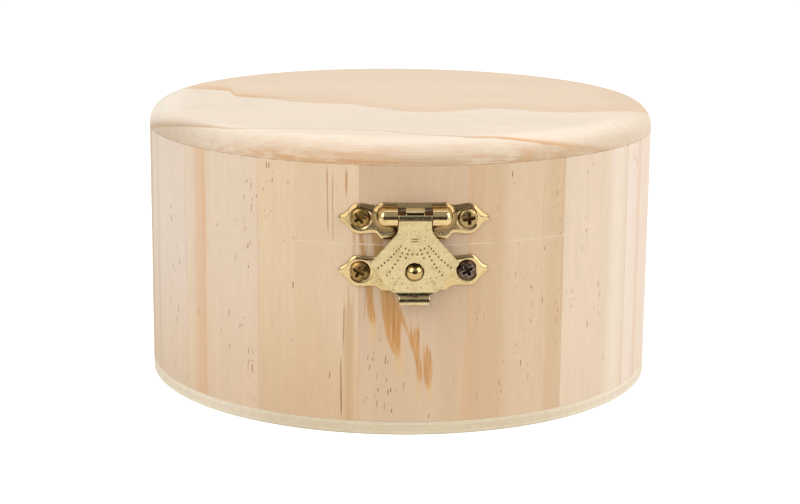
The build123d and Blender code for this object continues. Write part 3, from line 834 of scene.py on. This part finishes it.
# the dark colour lies where a piece's dirt-and-shade mask is, which holds grime and also painted shade and
# painted dark reflections; worn where the driver has rubbed a screw's cross bright
metalLooks = {
    "plateBrass": {
        "metal": (227, 199, 144), "tarnish": (150, 122, 72), "amount": 0.3, "scratches": 0.32, "smooth": 0.1,
        "dull": 0.22, "seed": (0, 0, 0), "bump": 0.00004, "grimeAndShade": (96, 66, 32),
    },
    "hingeBrass": {
        "metal": (224, 199, 149), "tarnish": (150, 122, 72), "amount": 0.3, "scratches": 0.4, "smooth": 0.12,
        "dull": 0.25, "seed": (30, 2, 8), "bump": 0.00004,
    },
    "flapBrass": {
        "metal": (219, 198, 150), "tarnish": (146, 120, 70), "amount": 0.28, "scratches": 0.42,
        "smooth": 0.14, "dull": 0.29, "seed": (5, 40, 9), "bump": 0.00005, "grimeAndShade": (66, 45, 16),
    },
    "studBrass": {
        "metal": (204, 176, 118), "tarnish": (120, 88, 40), "amount": 0.15, "scratches": 0.2, "smooth": 0.05,
        "dull": 0.12, "seed": (17, 3, 1), "bump": 0.00001, "grimeAndShade": (44, 24, 4),
    },
    "pinBronze": {
        "metal": (96, 56, 30), "tarnish": (50, 26, 12), "amount": 0.6, "scratches": 0.2, "smooth": 0.25,
        "dull": 0.45, "seed": (2, 9, 4), "bump": 0.00003,
    },
    "screwBronze": {
        "metal": (156, 124, 70), "tarnish": (44, 29, 13), "amount": 1.0, "scratches": 0.3, "smooth": 0.2,
        "dull": 0.42, "seed": (8, 1, 6), "bump": 0.00005, "grimeAndShade": (104, 76, 34), "worn": (238, 214, 156),
    },
    "screwOlive": {
        "metal": (176, 152, 104), "tarnish": (92, 68, 42), "amount": 0.6, "scratches": 0.2, "smooth": 0.26,
        "dull": 0.45, "seed": (4, 4, 1), "bump": 0.00004, "grimeAndShade": (72, 42, 22), "worn": (176, 152, 104),
    },
    "screwPlum": {
        "metal": (104, 80, 64), "tarnish": (44, 30, 22), "amount": 0.9, "scratches": 0.2, "smooth": 0.24,
        "dull": 0.4, "seed": (1, 7, 3), "bump": 0.00004, "grimeAndShade": (44, 30, 24), "worn": (236, 228, 218),
    },
}


def makeMetal(name, look):
    metal, tree, place = startMaterial(name)
    wear = put(tree, "ShaderNodeGroup", {
        "Position": place, "Seed": look["seed"], "Metal Colour": colour(*look["metal"]),
        "Tarnish Colour": colour(*look["tarnish"]), "Tarnish": look["amount"], "Scratches": look["scratches"],
        "Smooth": look["smooth"], "Dull": look["dull"],
    }, node_tree=wearGroup).outputs
    shade = wear["Colour"]
    for attribute, tone in (("dirtAndShade", "grimeAndShade"), ("worn", "worn")):
        if tone in look:
            mask = put(
                tree, "ShaderNodeAttribute", attribute_name=attribute, attribute_type="GEOMETRY"
            ).outputs["Fac"]
            shade = paint(shade, mask, look[tone])
    finishMaterial(tree, shade, wear, 0.5, look["bump"], Metallic=1.0)
    return metal


metals = {name: makeMetal(name, look) for name, look in metalLooks.items()}
nodeMetals = {
    "hinge_leaf_body": "hingeBrass", "hinge_leaf_lid": "hingeBrass", "hinge_pin": "studBrass",
    "hasp_pin": "pinBronze", "hinge_lid_screws": "screwBronze", "hinge_body_screws": "screwBronze",
    "hasp_plate_screws": "screwBronze", "catch_plate_screws": "screwBronze",
    "hasp_mounting_plate": "plateBrass", "catch_plate": "plateBrass", "hasp_flap": "flapBrass",
    "catch_stud": "studBrass",
}
for name, kind in nodeMetals.items():
    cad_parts[name].material_slots[0].material = metals[kind]
for name in ("hinge_leaf_body", "hinge_leaf_lid", "hinge_pin"):  # stamped edges are never sharp
    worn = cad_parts[name].modifiers.new("wornEdge", "BEVEL")
    worn.width, worn.segments, worn.limit_method, worn.angle_limit = 0.00013, 2, "ANGLE", sharpAngle
print("metals are made")


# Helpers for modelling: pieces are made in mm and settle() brings them to metres.

def pick(*pieces):
    bpy.ops.object.select_all(action="DESELECT")
    for piece in pieces:
        piece.select_set(True)
    bpy.context.view_layer.objects.active = pieces[0]


def edit(piece, kind="VERT"):
    pick(piece)
    bpy.ops.object.mode_set(mode="EDIT")
    bpy.ops.mesh.select_mode(type=kind)
    bpy.ops.mesh.select_all(action="DESELECT")


def choose(piece, kind, wanted):
    # picks vertices, edges or faces by their place
    bpy.ops.mesh.select_all(action="DESELECT")
    shape = bmesh.from_edit_mesh(piece.data)
    for part in getattr(shape, kind):
        if wanted(part):
            part.select_set(True)
    shape.select_flush_mode()
    bmesh.update_edit_mesh(piece.data)


def chooseAll():
    bpy.ops.mesh.select_all(action="SELECT")


def extrude(x=0.0, y=0.0, z=0.0):
    bpy.ops.mesh.extrude_region_move(TRANSFORM_OT_translate={"value": (x, y, z)})


def leaveEdit():
    bpy.ops.object.mode_set(mode="OBJECT")


def fitModifier(piece, kind, **options):
    pick(piece)
    modifier = piece.modifiers.new(kind.lower(), kind)
    for name, value in options.items():
        setattr(modifier, name, value)
    bpy.ops.object.modifier_apply(modifier=modifier.name)


def joinPieces(*pieces):
    pick(*pieces)
    bpy.ops.object.join()
    return pieces[0]


def addMask(piece, name="dirtAndShade"):
    return piece.data.attributes.new(name, "FLOAT", "POINT").data


def settle(piece, name, body, stoodFor, finish=None, angle=35):
    pick(piece)
    piece.name = piece.data.name = name
    bpy.ops.object.transform_apply(location=True, rotation=True, scale=True)
    piece.scale = (mm, mm, mm)
    bpy.ops.object.transform_apply(location=False, rotation=False, scale=True)
    bpy.ops.object.shade_smooth_by_angle(angle=radians(angle))
    if finish:
        piece.data.materials.clear()
        piece.data.materials.append(finish)
    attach(piece, body)
    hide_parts(stoodFor)
    print(f"{name}: {len(piece.data.polygons)} faces")


def between(x, stations):
    for (x0, y0), (x1, y1) in zip(stations, stations[1:]):
        if x <= x1:
            return y0 + (y1 - y0) * (x - x0) / (x1 - x0)
    return stations[-1][1]


def steps(stops, size):
    # evenly spaced places that also meet every stop
    places = [stops[0]]
    for start, end in zip(stops, stops[1:]):
        count = max(1, round((end - start) / size))
        places += [start + (end - start) * (i + 1) / count for i in range(count)]
    return places


def mirrored(places):
    return sorted({-place for place in places} | set(places))


def makeGrid(across, up):
    # a flat sheet with so many vertices, and the column and row of each of them
    bpy.ops.mesh.primitive_grid_add(x_subdivisions=across - 1, y_subdivisions=up - 1, size=2)
    vertices = bpy.context.object.data.vertices
    cells = [(round((v.co.x + 1) / 2 * (across - 1)), round((v.co.y + 1) / 2 * (up - 1))) for v in vertices]
    return bpy.context.object, zip(vertices, cells)


def cutOut(piece, wanted):
    edit(piece, "FACE")
    choose(piece, "faces", lambda face: wanted(face.calc_center_median()))
    bpy.ops.mesh.delete(type="FACE")
    leaveEdit()


def limited(share):
    return min(max(share, 0.0), 1.0)


def smooth(share):
    share = limited(share)
    return share * share * (3 - 2 * share)


def rounded(distance, width):
    # 0 at a sheet's edge to 1 past its rounding
    return sqrt(1 - (1 - limited(distance / width)) ** 2)


def near(distance, width):
    # 1 at a line or spot, 0 from its width on
    return max(0.0, 1 - distance / width)


# Stamped plates of the hasp and the catch

plateLook = {
    "step": 0.2,
    "rim": 0.14,  # the sharp rounding at the cut edge
    "reach": 17.35,
    "screws": 12.4,
    "sink": 0.22,  # the sheet is pressed in a little round each screw
    "block": 7.3,  # half width of the block between the ears
}
mountingLook = {
    "height": 51.85, "thick": 0.7, "window": (4.0, 2.1), "windowRise": 1.05,
    "sag": 0.42,  # the middle block sits lower than the ears
    "above": (1.45, 0.5), "below": (0.7, 0.22),  # width and drop of the turned-down edge
    "outline": [
        (0, 4.3), (7.3, 4.3), (7.75, 4.08), (8.4, 3.5), (9.1, 3.25), (10.2, 3.3), (11.4, 3.48), (12.4, 3.58),
        (13.3, 3.5), (13.9, 3.3), (14.4, 2.9), (14.9, 2.35), (15.4, 1.75), (15.9, 1.28), (16.4, 0.98),
        (16.9, 0.76), (17.2, 0.52), (17.35, 0.2),
    ],
}
catchLook = {
    "height": 39.57, "thick": 0.6, "window": None, "turn": 0.5,
    "above": (0.7, 0.26), "below": (0.6, 0.2),
    "outline": [
        (0, 4.5), (7.3, 4.5), (7.75, 4.28), (8.4, 3.72), (9.1, 3.45), (10.2, 3.42), (11.4, 3.5), (12.4, 3.58),
        (13.3, 3.6), (14.0, 3.42), (14.5, 3.0), (15.0, 2.4), (15.5, 1.8), (16.0, 1.33), (16.5, 1.02),
        (16.95, 0.78), (17.2, 0.52), (17.35, 0.2),
    ],
}


def plateSag(own, x):
    return own.get("sag", 0.0) * (1 - smooth((abs(x) - 7.4) / 1.5))


def plateEdge(own, x, z):
    # half height of the plate here, width and drop of its turned-down edge
    tall = between(abs(x), own["outline"])
    width, drop = own["above"] if z > 0 else own["below"]
    return tall, min(width, tall * 0.8), drop


def plateFront(look, own, x, z):
    # how far the sheet's front stands off the wall; z is from the plate's own middle
    tall, width, drop = plateEdge(own, x, z)
    rim = min(tall - abs(z), (look["reach"] + 0.05 - abs(x)) * 0.8)
    front = own["thick"] - drop * near(rim, width) ** 1.15
    front -= 0.1 * (1 - rounded(rim, look["rim"]))
    around = hypot(abs(x) - look["screws"], z)
    return front - look["sink"] * near(max(0.0, around - 2.1), 0.65) ** 1.5 * (tall > 3)


def plateDirtAndShade(look, own, x, z):
    # the dark cut edge with painted shade along it, a painted dark reflection down the turned-down strip, and
    # painted shade in its crease
    tall, width, drop = plateEdge(own, x, z)
    rim = min(tall - abs(z), look["reach"] + 0.05 - abs(x))
    strip = (0.3 + 0.35 * (abs(x) > 8) if z > 0 else 0.12) * (rim < width) * min(1.0, drop * 2.5)
    return min(1.0, max(0.6 * near(rim, 0.12), strip, 0.3 * near(abs(rim - width), 0.12)))


def makePlate(look, own):
    window = own["window"]
    hole = [window[0], window[0] + 0.07] if window else []
    spread = steps([0, *hole, look["block"], look["reach"]], look["step"])
    xs = mirrored(spread)
    halves = [between(abs(x), own["outline"]) for x in xs]
    insets = [0, 0.02, 0.05, 0.09, look["rim"]]
    reach = max(halves) - look["rim"]
    stops = [-reach, reach]
    if window:
        low, high = own["windowRise"] - window[1], own["windowRise"] + window[1]
        stops[1:1] = [low - 0.07, low, high, high + 0.07]
    middle = steps(stops, look["step"] * 0.8)
    rows = [(0, z / reach) for z in middle]
    rows = [(-1, inset) for inset in insets[:-1]] + rows + [(1, inset) for inset in insets[-2::-1]]
    plate, cells = makeGrid(len(xs), len(rows))
    for vertex, (column, row) in cells:
        side, share = rows[row]
        tall = halves[column]
        squeeze = min(1.0, tall / (3 * look["rim"]))
        z = share * (tall - look["rim"] * squeeze) if side == 0 else side * (tall - share * squeeze)
        vertex.co = (xs[column], -own["thick"], z)
    if window:
        cutOut(plate, lambda middle: abs(middle.x) < window[0] and low < middle.z < high)
    fitModifier(plate, "SOLIDIFY", thickness=own["thick"] - 0.02, offset=-1)
    lean = radians(own.get("turn", 0))
    dirtAndShade = addMask(plate)
    for vertex in plate.data.vertices:
        x, t, z = vertex.co.x, -vertex.co.y, vertex.co.z
        # the back and, through it, the sheet's cut sides: painted shade
        dirtAndShade[vertex.index].value = 0.7
        if t > own["thick"] / 2:
            t = plateFront(look, own, x, z)
            dirtAndShade[vertex.index].value = plateDirtAndShade(look, own, x, z)
            if window:
                inside = max(abs(x) - window[0], low - z, z - high)
                t -= (1 - rounded(inside, 0.07)) * 0.07
                # painted shade on the window's edge
                if inside < 0.04:
                    dirtAndShade[vertex.index].value = 0.5
        z -= plateSag(own, x)
        x, z = x * cos(lean) - z * sin(lean), x * sin(lean) + z * cos(lean)
        vertex.co = (x, -sqrt((wallRadius + t) ** 2 - x * x), own["height"] + z)
    return plate


bumpLook = {
    "pin": (-67.35, 52.7), "radius": 2.12, "centre": 7.0, "squash": 0.75, "inner": 4.0, "shell": 0.5,
    "parts": 6,
    "fillet": [  # out, rise
        (0.0, 0.75), (0.06, 0.5), (0.18, 0.28), (0.38, 0.12), (0.62, 0.03), (0.85, -0.05),
    ],
}


def makeBump(look, side):
    # half a capsule over the pin's end, with a fillet down to the plate
    y, height = look["pin"]
    part = (look["centre"] - look["inner"]) / look["parts"]
    bpy.ops.mesh.primitive_uv_sphere_add(
        segments=56, ring_count=28, radius=look["radius"], rotation=(0, quarterTurn, 0)
    )
    bump = bpy.context.object
    bpy.ops.object.transform_apply(location=True, rotation=True, scale=True)
    edit(bump)
    choose(bump, "verts", lambda v: v.co.x * side < -1e-4)
    bpy.ops.mesh.delete(type="VERT")
    chooseAll()
    bpy.ops.transform.resize(value=(look["squash"], 1, 1), center_override=(0, 0, 0))
    for count in range(look["parts"]):
        choose(bump, "verts", lambda v: abs(v.co.x + side * part * count) < 1e-4)
        extrude(-side * part)
    chooseAll()
    bpy.ops.transform.translate(value=(side * look["centre"], y, height))
    bpy.ops.mesh.bisect(plane_co=(0, y, 0), plane_no=(0, 1, 0), clear_outer=True)
    choose(bump, "verts", lambda v: v.is_boundary and abs(v.co.y - y) < 1e-4)
    for out, rise in look["fillet"]:  # each new ring stays chosen
        extrude()
        shape = bmesh.from_edit_mesh(bump.data)
        for v in shape.verts:
            if v.select:
                x, z = v.co.x * side, v.co.z - height
                heart = min(max(x, look["inner"]), look["centre"])
                narrow = 1 - 0.55 * max(0.0, z / look["radius"])  # little room above
                grow = out * narrow / max(hypot(x - heart, z), 1e-6)
                x, z = x + (x - heart) * grow, z * (1 + grow)
                plateZ = z + height - mountingLook["height"] + plateSag(mountingLook, x)
                seat = wallRadius + plateFront(plateLook, mountingLook, x, plateZ)
                v.co = (x * side, -sqrt(seat**2 - x * x) - rise, height + z)
        bmesh.update_edit_mesh(bump.data)
    leaveEdit()
    fitModifier(bump, "SOLIDIFY", thickness=look["shell"], offset=-1)
    edit(bump, "EDGE")
    chooseAll()
    bpy.ops.mesh.normals_make_consistent(inside=False)
    leaveEdit()
    # painted shade in the fillet where the bump meets the plate
    dirtAndShade = addMask(bump)
    for vertex in bump.data.vertices:
        x, y, z = vertex.co
        plateZ = z - mountingLook["height"] + plateSag(mountingLook, x)
        rise = hypot(x, y) - wallRadius - plateFront(plateLook, mountingLook, x, plateZ)
        dirtAndShade[vertex.index].value = 0.85 * near(max(rise, 0), 0.55)
    return bump


mountingPlate = joinPieces(makePlate(plateLook, mountingLook), makeBump(bumpLook, -1), makeBump(bumpLook, 1))
settle(
    mountingPlate, "mountingPlate", "lid", "hasp_mounting_plate", metals["plateBrass"], angle=50
)
catchPlate = makePlate(plateLook, catchLook)
settle(catchPlate, "catchPlate", "box_body", "catch_plate", metals["plateBrass"], angle=50)


# Flap with its curl, punched dots, smile-shaped dent and turned lip

flapLook = {
    "sheet": 0.6,
    "curlRadius": 1.75,
    "pin": (67.35, 52.7),  # distance from the box's middle, height
    "side": [  # middle of the sheet below the curl: distance, height
        (68.3, 50.6), (66.96, 35.1), (67.02, 34.55), (67.16, 34.12), (67.62, 33.78), (67.76, 33.4),
        (67.8, 32.95), (67.68, 32.25),
    ],
    "halfWidths": [
        (32.25, 3.2), (32.37, 3.42), (32.6, 3.58), (34.2, 3.58), (34.5, 3.75), (34.95, 4.85), (35.6, 5.6),
        (36.1, 6.0), (41.5, 10.02), (41.85, 10.2), (42.15, 10.22), (42.5, 10.02), (48.4, 4.8), (49.2, 4.2),
        (50.2, 3.87), (60, 3.84),
    ],
    "neck": 3.84,
    "tongue": 2.15,
    "notchRise": 0.8,
    "stud": (40.0, 2.25),  # height and radius of the hole
    "columns": 0.12,
    "edge": 0.2,
    "dots": [
        (3.18, 46.3), (3.68, 45.75), (4.24, 45.16), (4.81, 44.5), (5.46, 43.75), (6.12, 43.0), (6.9, 42.4),
        (7.6, 41.75), (8.35, 41.2), (2.2, 45.8), (2.88, 44.72), (3.35, 43.88), (3.9, 42.97), (4.5, 42.06),
        (5.05, 41.18), (5.68, 40.26), (6.33, 39.4), (1.33, 45.35), (1.65, 44.47), (0.58, 44.37),
        (2.07, 43.54),
    ],
    "faintDots": [
        (5.0, 38.77), (3.66, 38.66), (4.1, 37.95), (4.6, 37.3), (2.9, 37.35), (1.54, 36.4), (4.86, 35.9),
    ],
    "dotRadius": 0.25,
    "dotDepth": 0.16,
    "dent": (0.0, 47.45, 1.2),  # x, z and half width of the smile
    "hollows": [(34.42, 0.42), (33.12, 0.26)],  # height and half height of the lip's folds, painted dark as reflections
}


def flapSide(look):
    # middle line of the sheet from behind the pin, over it and down to the lip: distance out, height
    radius, (out, height) = look["curlRadius"], look["pin"]
    turn = [radians(a) for a in (*range(285, -25, -6), -25)]
    curl = [(out + radius * cos(a), height + radius * sin(a)) for a in turn]
    straight = []
    for (x0, z0), (x1, z1) in zip([curl[-1], *look["side"]], look["side"]):
        count = max(1, round(math.dist((x0, z0), (x1, z1)) / look["columns"]))
        straight += [
            (x0 + (x1 - x0) * (i + 1) / count, z0 + (z1 - z0) * (i + 1) / count) for i in range(count)
        ]
    for _ in range(4):  # eases the bends
        ends = [curl[-1], *straight, straight[-1]]
        threes = zip(ends, ends[1:], ends[2:])
        straight = [((a[0] + 2 * b[0] + c[0]) / 4, (a[1] + 2 * b[1] + c[1]) / 4) for a, b, c in threes]
    return curl, straight


def flapPress(look, x, z, dirtAndShade):
    # how deep the sheet's front is pressed in here, the dirt in its dots and dent, and painted dark
    # reflections in the lip's folds
    pressed = 0.0
    for spots, deep in ((look["dots"], 1.0), (look["faintDots"], 0.35)):
        for spotX, spotZ in spots:
            away = hypot(abs(x) - spotX, z - spotZ) / look["dotRadius"]
            if away < 1:
                pressed += look["dotDepth"] * deep * (1 - away * away) ** 2
                dirtAndShade = max(dirtAndShade, 0.88 * deep * (1 - away) ** 0.5)
    smileX, smileZ, smileHalf = look["dent"]
    aside = ((x - smileX) / smileHalf) ** 2
    bow = z - smileZ - 0.32 * aside
    if aside < 1 and abs(bow) < 0.45:
        smile = (1 - aside) * near(abs(bow), 0.2) ** 1.5
        pressed += 0.07 * smile
        dirtAndShade = max(dirtAndShade, smile * 0.12)
        if bow > 0:  # the metal stands up a little above it
            pressed -= 0.05 * (1 - aside) * sin(math.pi * bow / 0.45)
    # painted dark reflections in the lip's folds
    for level, half in look["hollows"]:
        dirtAndShade = max(dirtAndShade, 0.85 * near(abs(z - level), half) ** 0.5)
    return pressed, dirtAndShade


def makeFlap(look):
    curl, straight = flapSide(look)
    path = curl + straight
    ease = look["edge"]
    pin, pinHeight = look["pin"]
    inner = mirrored(steps([0, 0.61, 1], 1 / 84))  # the share 0.61 of the neck is the tongue's side
    insets = [0, 0.05, 0.12]
    columns = [(-1, i) for i in insets] + [(0, s) for s in inner] + [(1, i) for i in insets[::-1]]
    flap, cells = makeGrid(len(columns), len(path))
    for vertex, (column, row) in cells:
        side, share = columns[column]
        row = len(path) - 1 - row
        out, height = path[row]
        wide = between(height, look["halfWidths"]) if row > len(curl) - 1 else look["neck"]
        x = share * (wide - ease) if side == 0 else side * (wide - share)
        vertex.co = (x, -out, height)

    def beside(middle):  # what stands beside the tongue, behind the pin and above the notch
        behind = -middle.y < pin or middle.z > pinHeight + look["notchRise"]
        return behind and abs(middle.x) > look["tongue"] and middle.z > 50
    cutOut(flap, beside)
    count = len(flap.data.vertices)
    fitModifier(flap, "SOLIDIFY", thickness=look["sheet"], offset=0)
    shape = flap.data.vertices
    dirtAndShade = addMask(flap)
    lowest = look["side"][-1][1]
    for i in range(count):
        front, rear = sorted((shape[i], shape[i + count]), key=lambda v: v.co.y)
        middle = (front.co + rear.co) / 2
        rim = min((between(middle.z, look["halfWidths"]) - abs(middle.x)) * 0.8, middle.z - lowest)
        thin = 0.45 + 0.55 * rounded(rim, ease)
        front.co = middle + (front.co - middle) * thin
        rear.co = middle + (rear.co - middle) * thin
        turned = math.degrees(math.atan2(middle.z - pinHeight, -middle.y - pin))
        groove = near(abs(turned - 41), 13) * min(1.0, (look["tongue"] - 0.13 - abs(middle.x)) / 0.1)
        proud = 52 < turned < 140 and abs(middle.x) < look["tongue"] + 0.05
        outer = front if hypot(-front.co.y - pin, front.co.z - pinHeight) > look["curlRadius"] else rear
        away = Vector((0, outer.co.y + pin, outer.co.z - pinHeight))
        if groove > 0:  # the tongue dips behind the shoulder
            outer.co -= away.normalized() * 0.5 * min(1.0, groove * 1.6)
            # painted shade where the tongue dips behind the shoulder
            dirtAndShade[outer.index].value = min(1.0, groove * 1.8)
        elif proud:  # and stands proud above it
            outer.co += away.normalized() * 0.3 * min(1.0, (turned - 52) / 8, (140 - turned) / 20)
        # the dark cut edge with painted shade along the sheet's rim
        grimeAndShade = max(0.6 * near(rim, 0.13), dirtAndShade[front.index].value)
        crease = 1 - abs(turned + 6) / 9  # and painted shadow where the shoulder casts its line on the neck
        if crease > 0 and abs(middle.x) < 3.8:
            grimeAndShade = max(grimeAndShade, 0.85 * min(1.0, crease * 1.5))
        if middle.z <= 49:
            pressed, grimeAndShade = flapPress(look, middle.x, middle.z, grimeAndShade)
            front.co.y += pressed
        # the back of the sheet, and through it the cut sides, painted dark as shade
        dirtAndShade[rear.index].value, dirtAndShade[front.index].value = 0.5, grimeAndShade
    bpy.ops.mesh.primitive_cylinder_add(
        vertices=72, radius=look["stud"][1], depth=8, location=(0, -pin, look["stud"][0]),
        rotation=(quarterTurn, 0, 0),
    )
    punch = bpy.context.object
    fitModifier(flap, "BOOLEAN", operation="DIFFERENCE", object=punch, solver="EXACT")
    bpy.data.objects.remove(punch)
    return flap


settle(makeFlap(flapLook), "haspFlap", "hasp", "hasp_flap", metals["flapBrass"], angle=40)


# Cross-head screws and the ball stud

screwLook = {
    "radius": 2.25,
    "rim": 0.42,
    "dome": 0.78,
    "steps": 84,
    "cross": (2.9, 0.84),  # length and width of its arms at the top
    "floor": 0.34,
    "wall": 0.2,
    "under": 0.08,  # the eased edge below the rim, then what goes into the sheet
    "foot": 0.2,
}
# piece, body, node, half turn for the back, stand-off, then each screw: x, z, turn of the cross, tilt, metal
screwSets = [
    ("haspScrewHeads", "lid", "hasp_plate_screws", 0, 0.36,
     [(-12.4, 52.1, 38, 0, "screwBronze"), (12.3, 52.0, 6, 2, "screwOlive")]),
    ("catchScrewHeads", "box_body", "catch_plate_screws", 0, 0.36,
     [(-12.45, 39.45, 63, -2, "screwBronze"), (12.15, 39.7, 30, 0, "screwPlum")]),
    ("lidHingeScrewHeads", "lid", "hinge_lid_screws", 180, 0.55,
     [(-7.3, 53.08, 20, 1, "screwOlive"), (7.3, 53.08, 71, 0, "screwBronze")]),
    ("bodyHingeScrewHeads", "box_body", "hinge_body_screws", 180, 0.55,
     [(-7.3, 38.52, 44, 0, "screwBronze"), (7.3, 38.52, 12, -1, "screwOlive")]),
]


def makeScrewHead(look, metal):
    # made lying in the XY plane with its head up, the seat at z 0:
    # a square grid drawn round, with the cross sunk in it
    head, _ = makeGrid(look["steps"] + 1, look["steps"] + 1)
    for name in ("dirtAndShade", "worn"):
        addMask(head, name)
    dirtAndShade, worn = (head.data.attributes[name].data for name in ("dirtAndShade", "worn"))
    long, wide = (size / 2 for size in look["cross"])
    for vertex in head.data.vertices:
        x, y = vertex.co.x * sqrt(1 - vertex.co.y**2 / 2), vertex.co.y * sqrt(1 - vertex.co.x**2 / 2)
        share = min(1.0, hypot(x, y))
        x, y = x * look["radius"], y * look["radius"]
        crown = look["rim"] + look["dome"] * sqrt(1 - share**2.5)
        outside = min(max(abs(x) - long, abs(y) - wide), max(abs(y) - long, abs(x) - wide))
        sunk = smooth((0.05 - outside) / look["wall"])
        floor = look["floor"] + 0.2 * min(1.0, hypot(x, y) / long)
        vertex.co = (x, y, crown + (floor - crown) * sunk)
        # grime and painted shade in the cross, and painted shade round the head's edge
        edge = 0.5 * max(0.0, (share - 0.93) / 0.07)
        dirtAndShade[vertex.index].value = max(0.9 * limited((sunk - 0.35) / 0.4), edge)
        worn[vertex.index].value = 0.9 * near(abs(outside - 0.02), 0.13)
    edit(head, "EDGE")
    choose(head, "edges", lambda e: e.is_boundary)
    extrude(z=look["under"] - look["rim"])
    extrude(z=-look["under"])
    bpy.ops.transform.resize(value=(0.95, 0.95, 1), center_override=(0, 0, 0))
    extrude(z=-look["foot"])
    bpy.ops.mesh.edge_face_add()
    leaveEdit()
    head.data.materials.append(metal)
    return head


def placeScrews(heads, name, body, node, facing, lift, looks):
    # each is turned about its own axis, then stood on the wall
    placed = []
    for x, z, turn, tip, metal in looks:
        screw = heads[metal].copy()
        screw.data = screw.data.copy()
        bpy.context.collection.objects.link(screw)
        spin = Quaternion((0, 0, 1), radians(turn))
        lean = Quaternion((1, 0, 0), radians(90 + tip))
        face = Quaternion((0, 0, 1), math.asin(x / wallRadius) + radians(facing))
        out = face @ Vector((0, -(wallRadius + lift), 0))
        for vertex in screw.data.vertices:
            vertex.co = face @ (lean @ (spin @ vertex.co)) + out + Vector((0, 0, z))
        placed.append(screw)
    settle(joinPieces(*placed), name, body, node)


screwHeads = {
    metal: makeScrewHead(screwLook, metals[metal]) for metal in ("screwBronze", "screwOlive", "screwPlum")
}
for screws in screwSets:
    placeScrews(screwHeads, *screws)
for head in screwHeads.values():
    bpy.data.objects.remove(head)

studLook = {"height": 40.0, "ball": 2.05, "centre": 67.7, "collar": 1.5, "flare": 1.25, "foot": 0.2}


def makeStud(look):
    bpy.ops.mesh.primitive_uv_sphere_add(segments=72, ring_count=36, radius=look["ball"])
    stud = bpy.context.object
    edit(stud, "FACE")
    neck = -sqrt(look["ball"] ** 2 - look["collar"] ** 2)
    chooseAll()
    bpy.ops.mesh.bisect(plane_co=(0, 0, neck), plane_no=(0, 0, -1), clear_outer=True)
    choose(stud, "edges", lambda e: e.is_boundary)
    bpy.ops.mesh.select_mode(type="EDGE")
    seat = wallRadius + catchLook["thick"] - look["centre"] - 0.1
    extrude(z=seat + look["foot"] - neck)
    extrude(z=-look["foot"])
    bpy.ops.transform.resize(value=(look["flare"], look["flare"], 1), center_override=(0, 0, 0))
    bpy.ops.mesh.edge_face_add()
    leaveEdit()
    dirtAndShade = addMask(stud)
    for vertex in stud.data.vertices:  # painted shade towards the foot, where the flap's hole rims the ball, and a painted dark reflection over its top
        out, up = vertex.co.z / look["ball"], vertex.co.y / look["ball"]
        dirtAndShade[vertex.index].value = 0.95 * min(1.0, max(0.0, (0.62 - out) / 0.25) + max(0.0, (up - 0.5) / 0.3))
    stud.rotation_euler.x = quarterTurn
    stud.location = (0, -look["centre"], look["height"])
    return stud


settle(makeStud(studLook), "ballStud", "box_body", "catch_stud", metals["studBrass"])
print("hasp, catch, screws and stud are made")


bpy.context.view_layer.update()
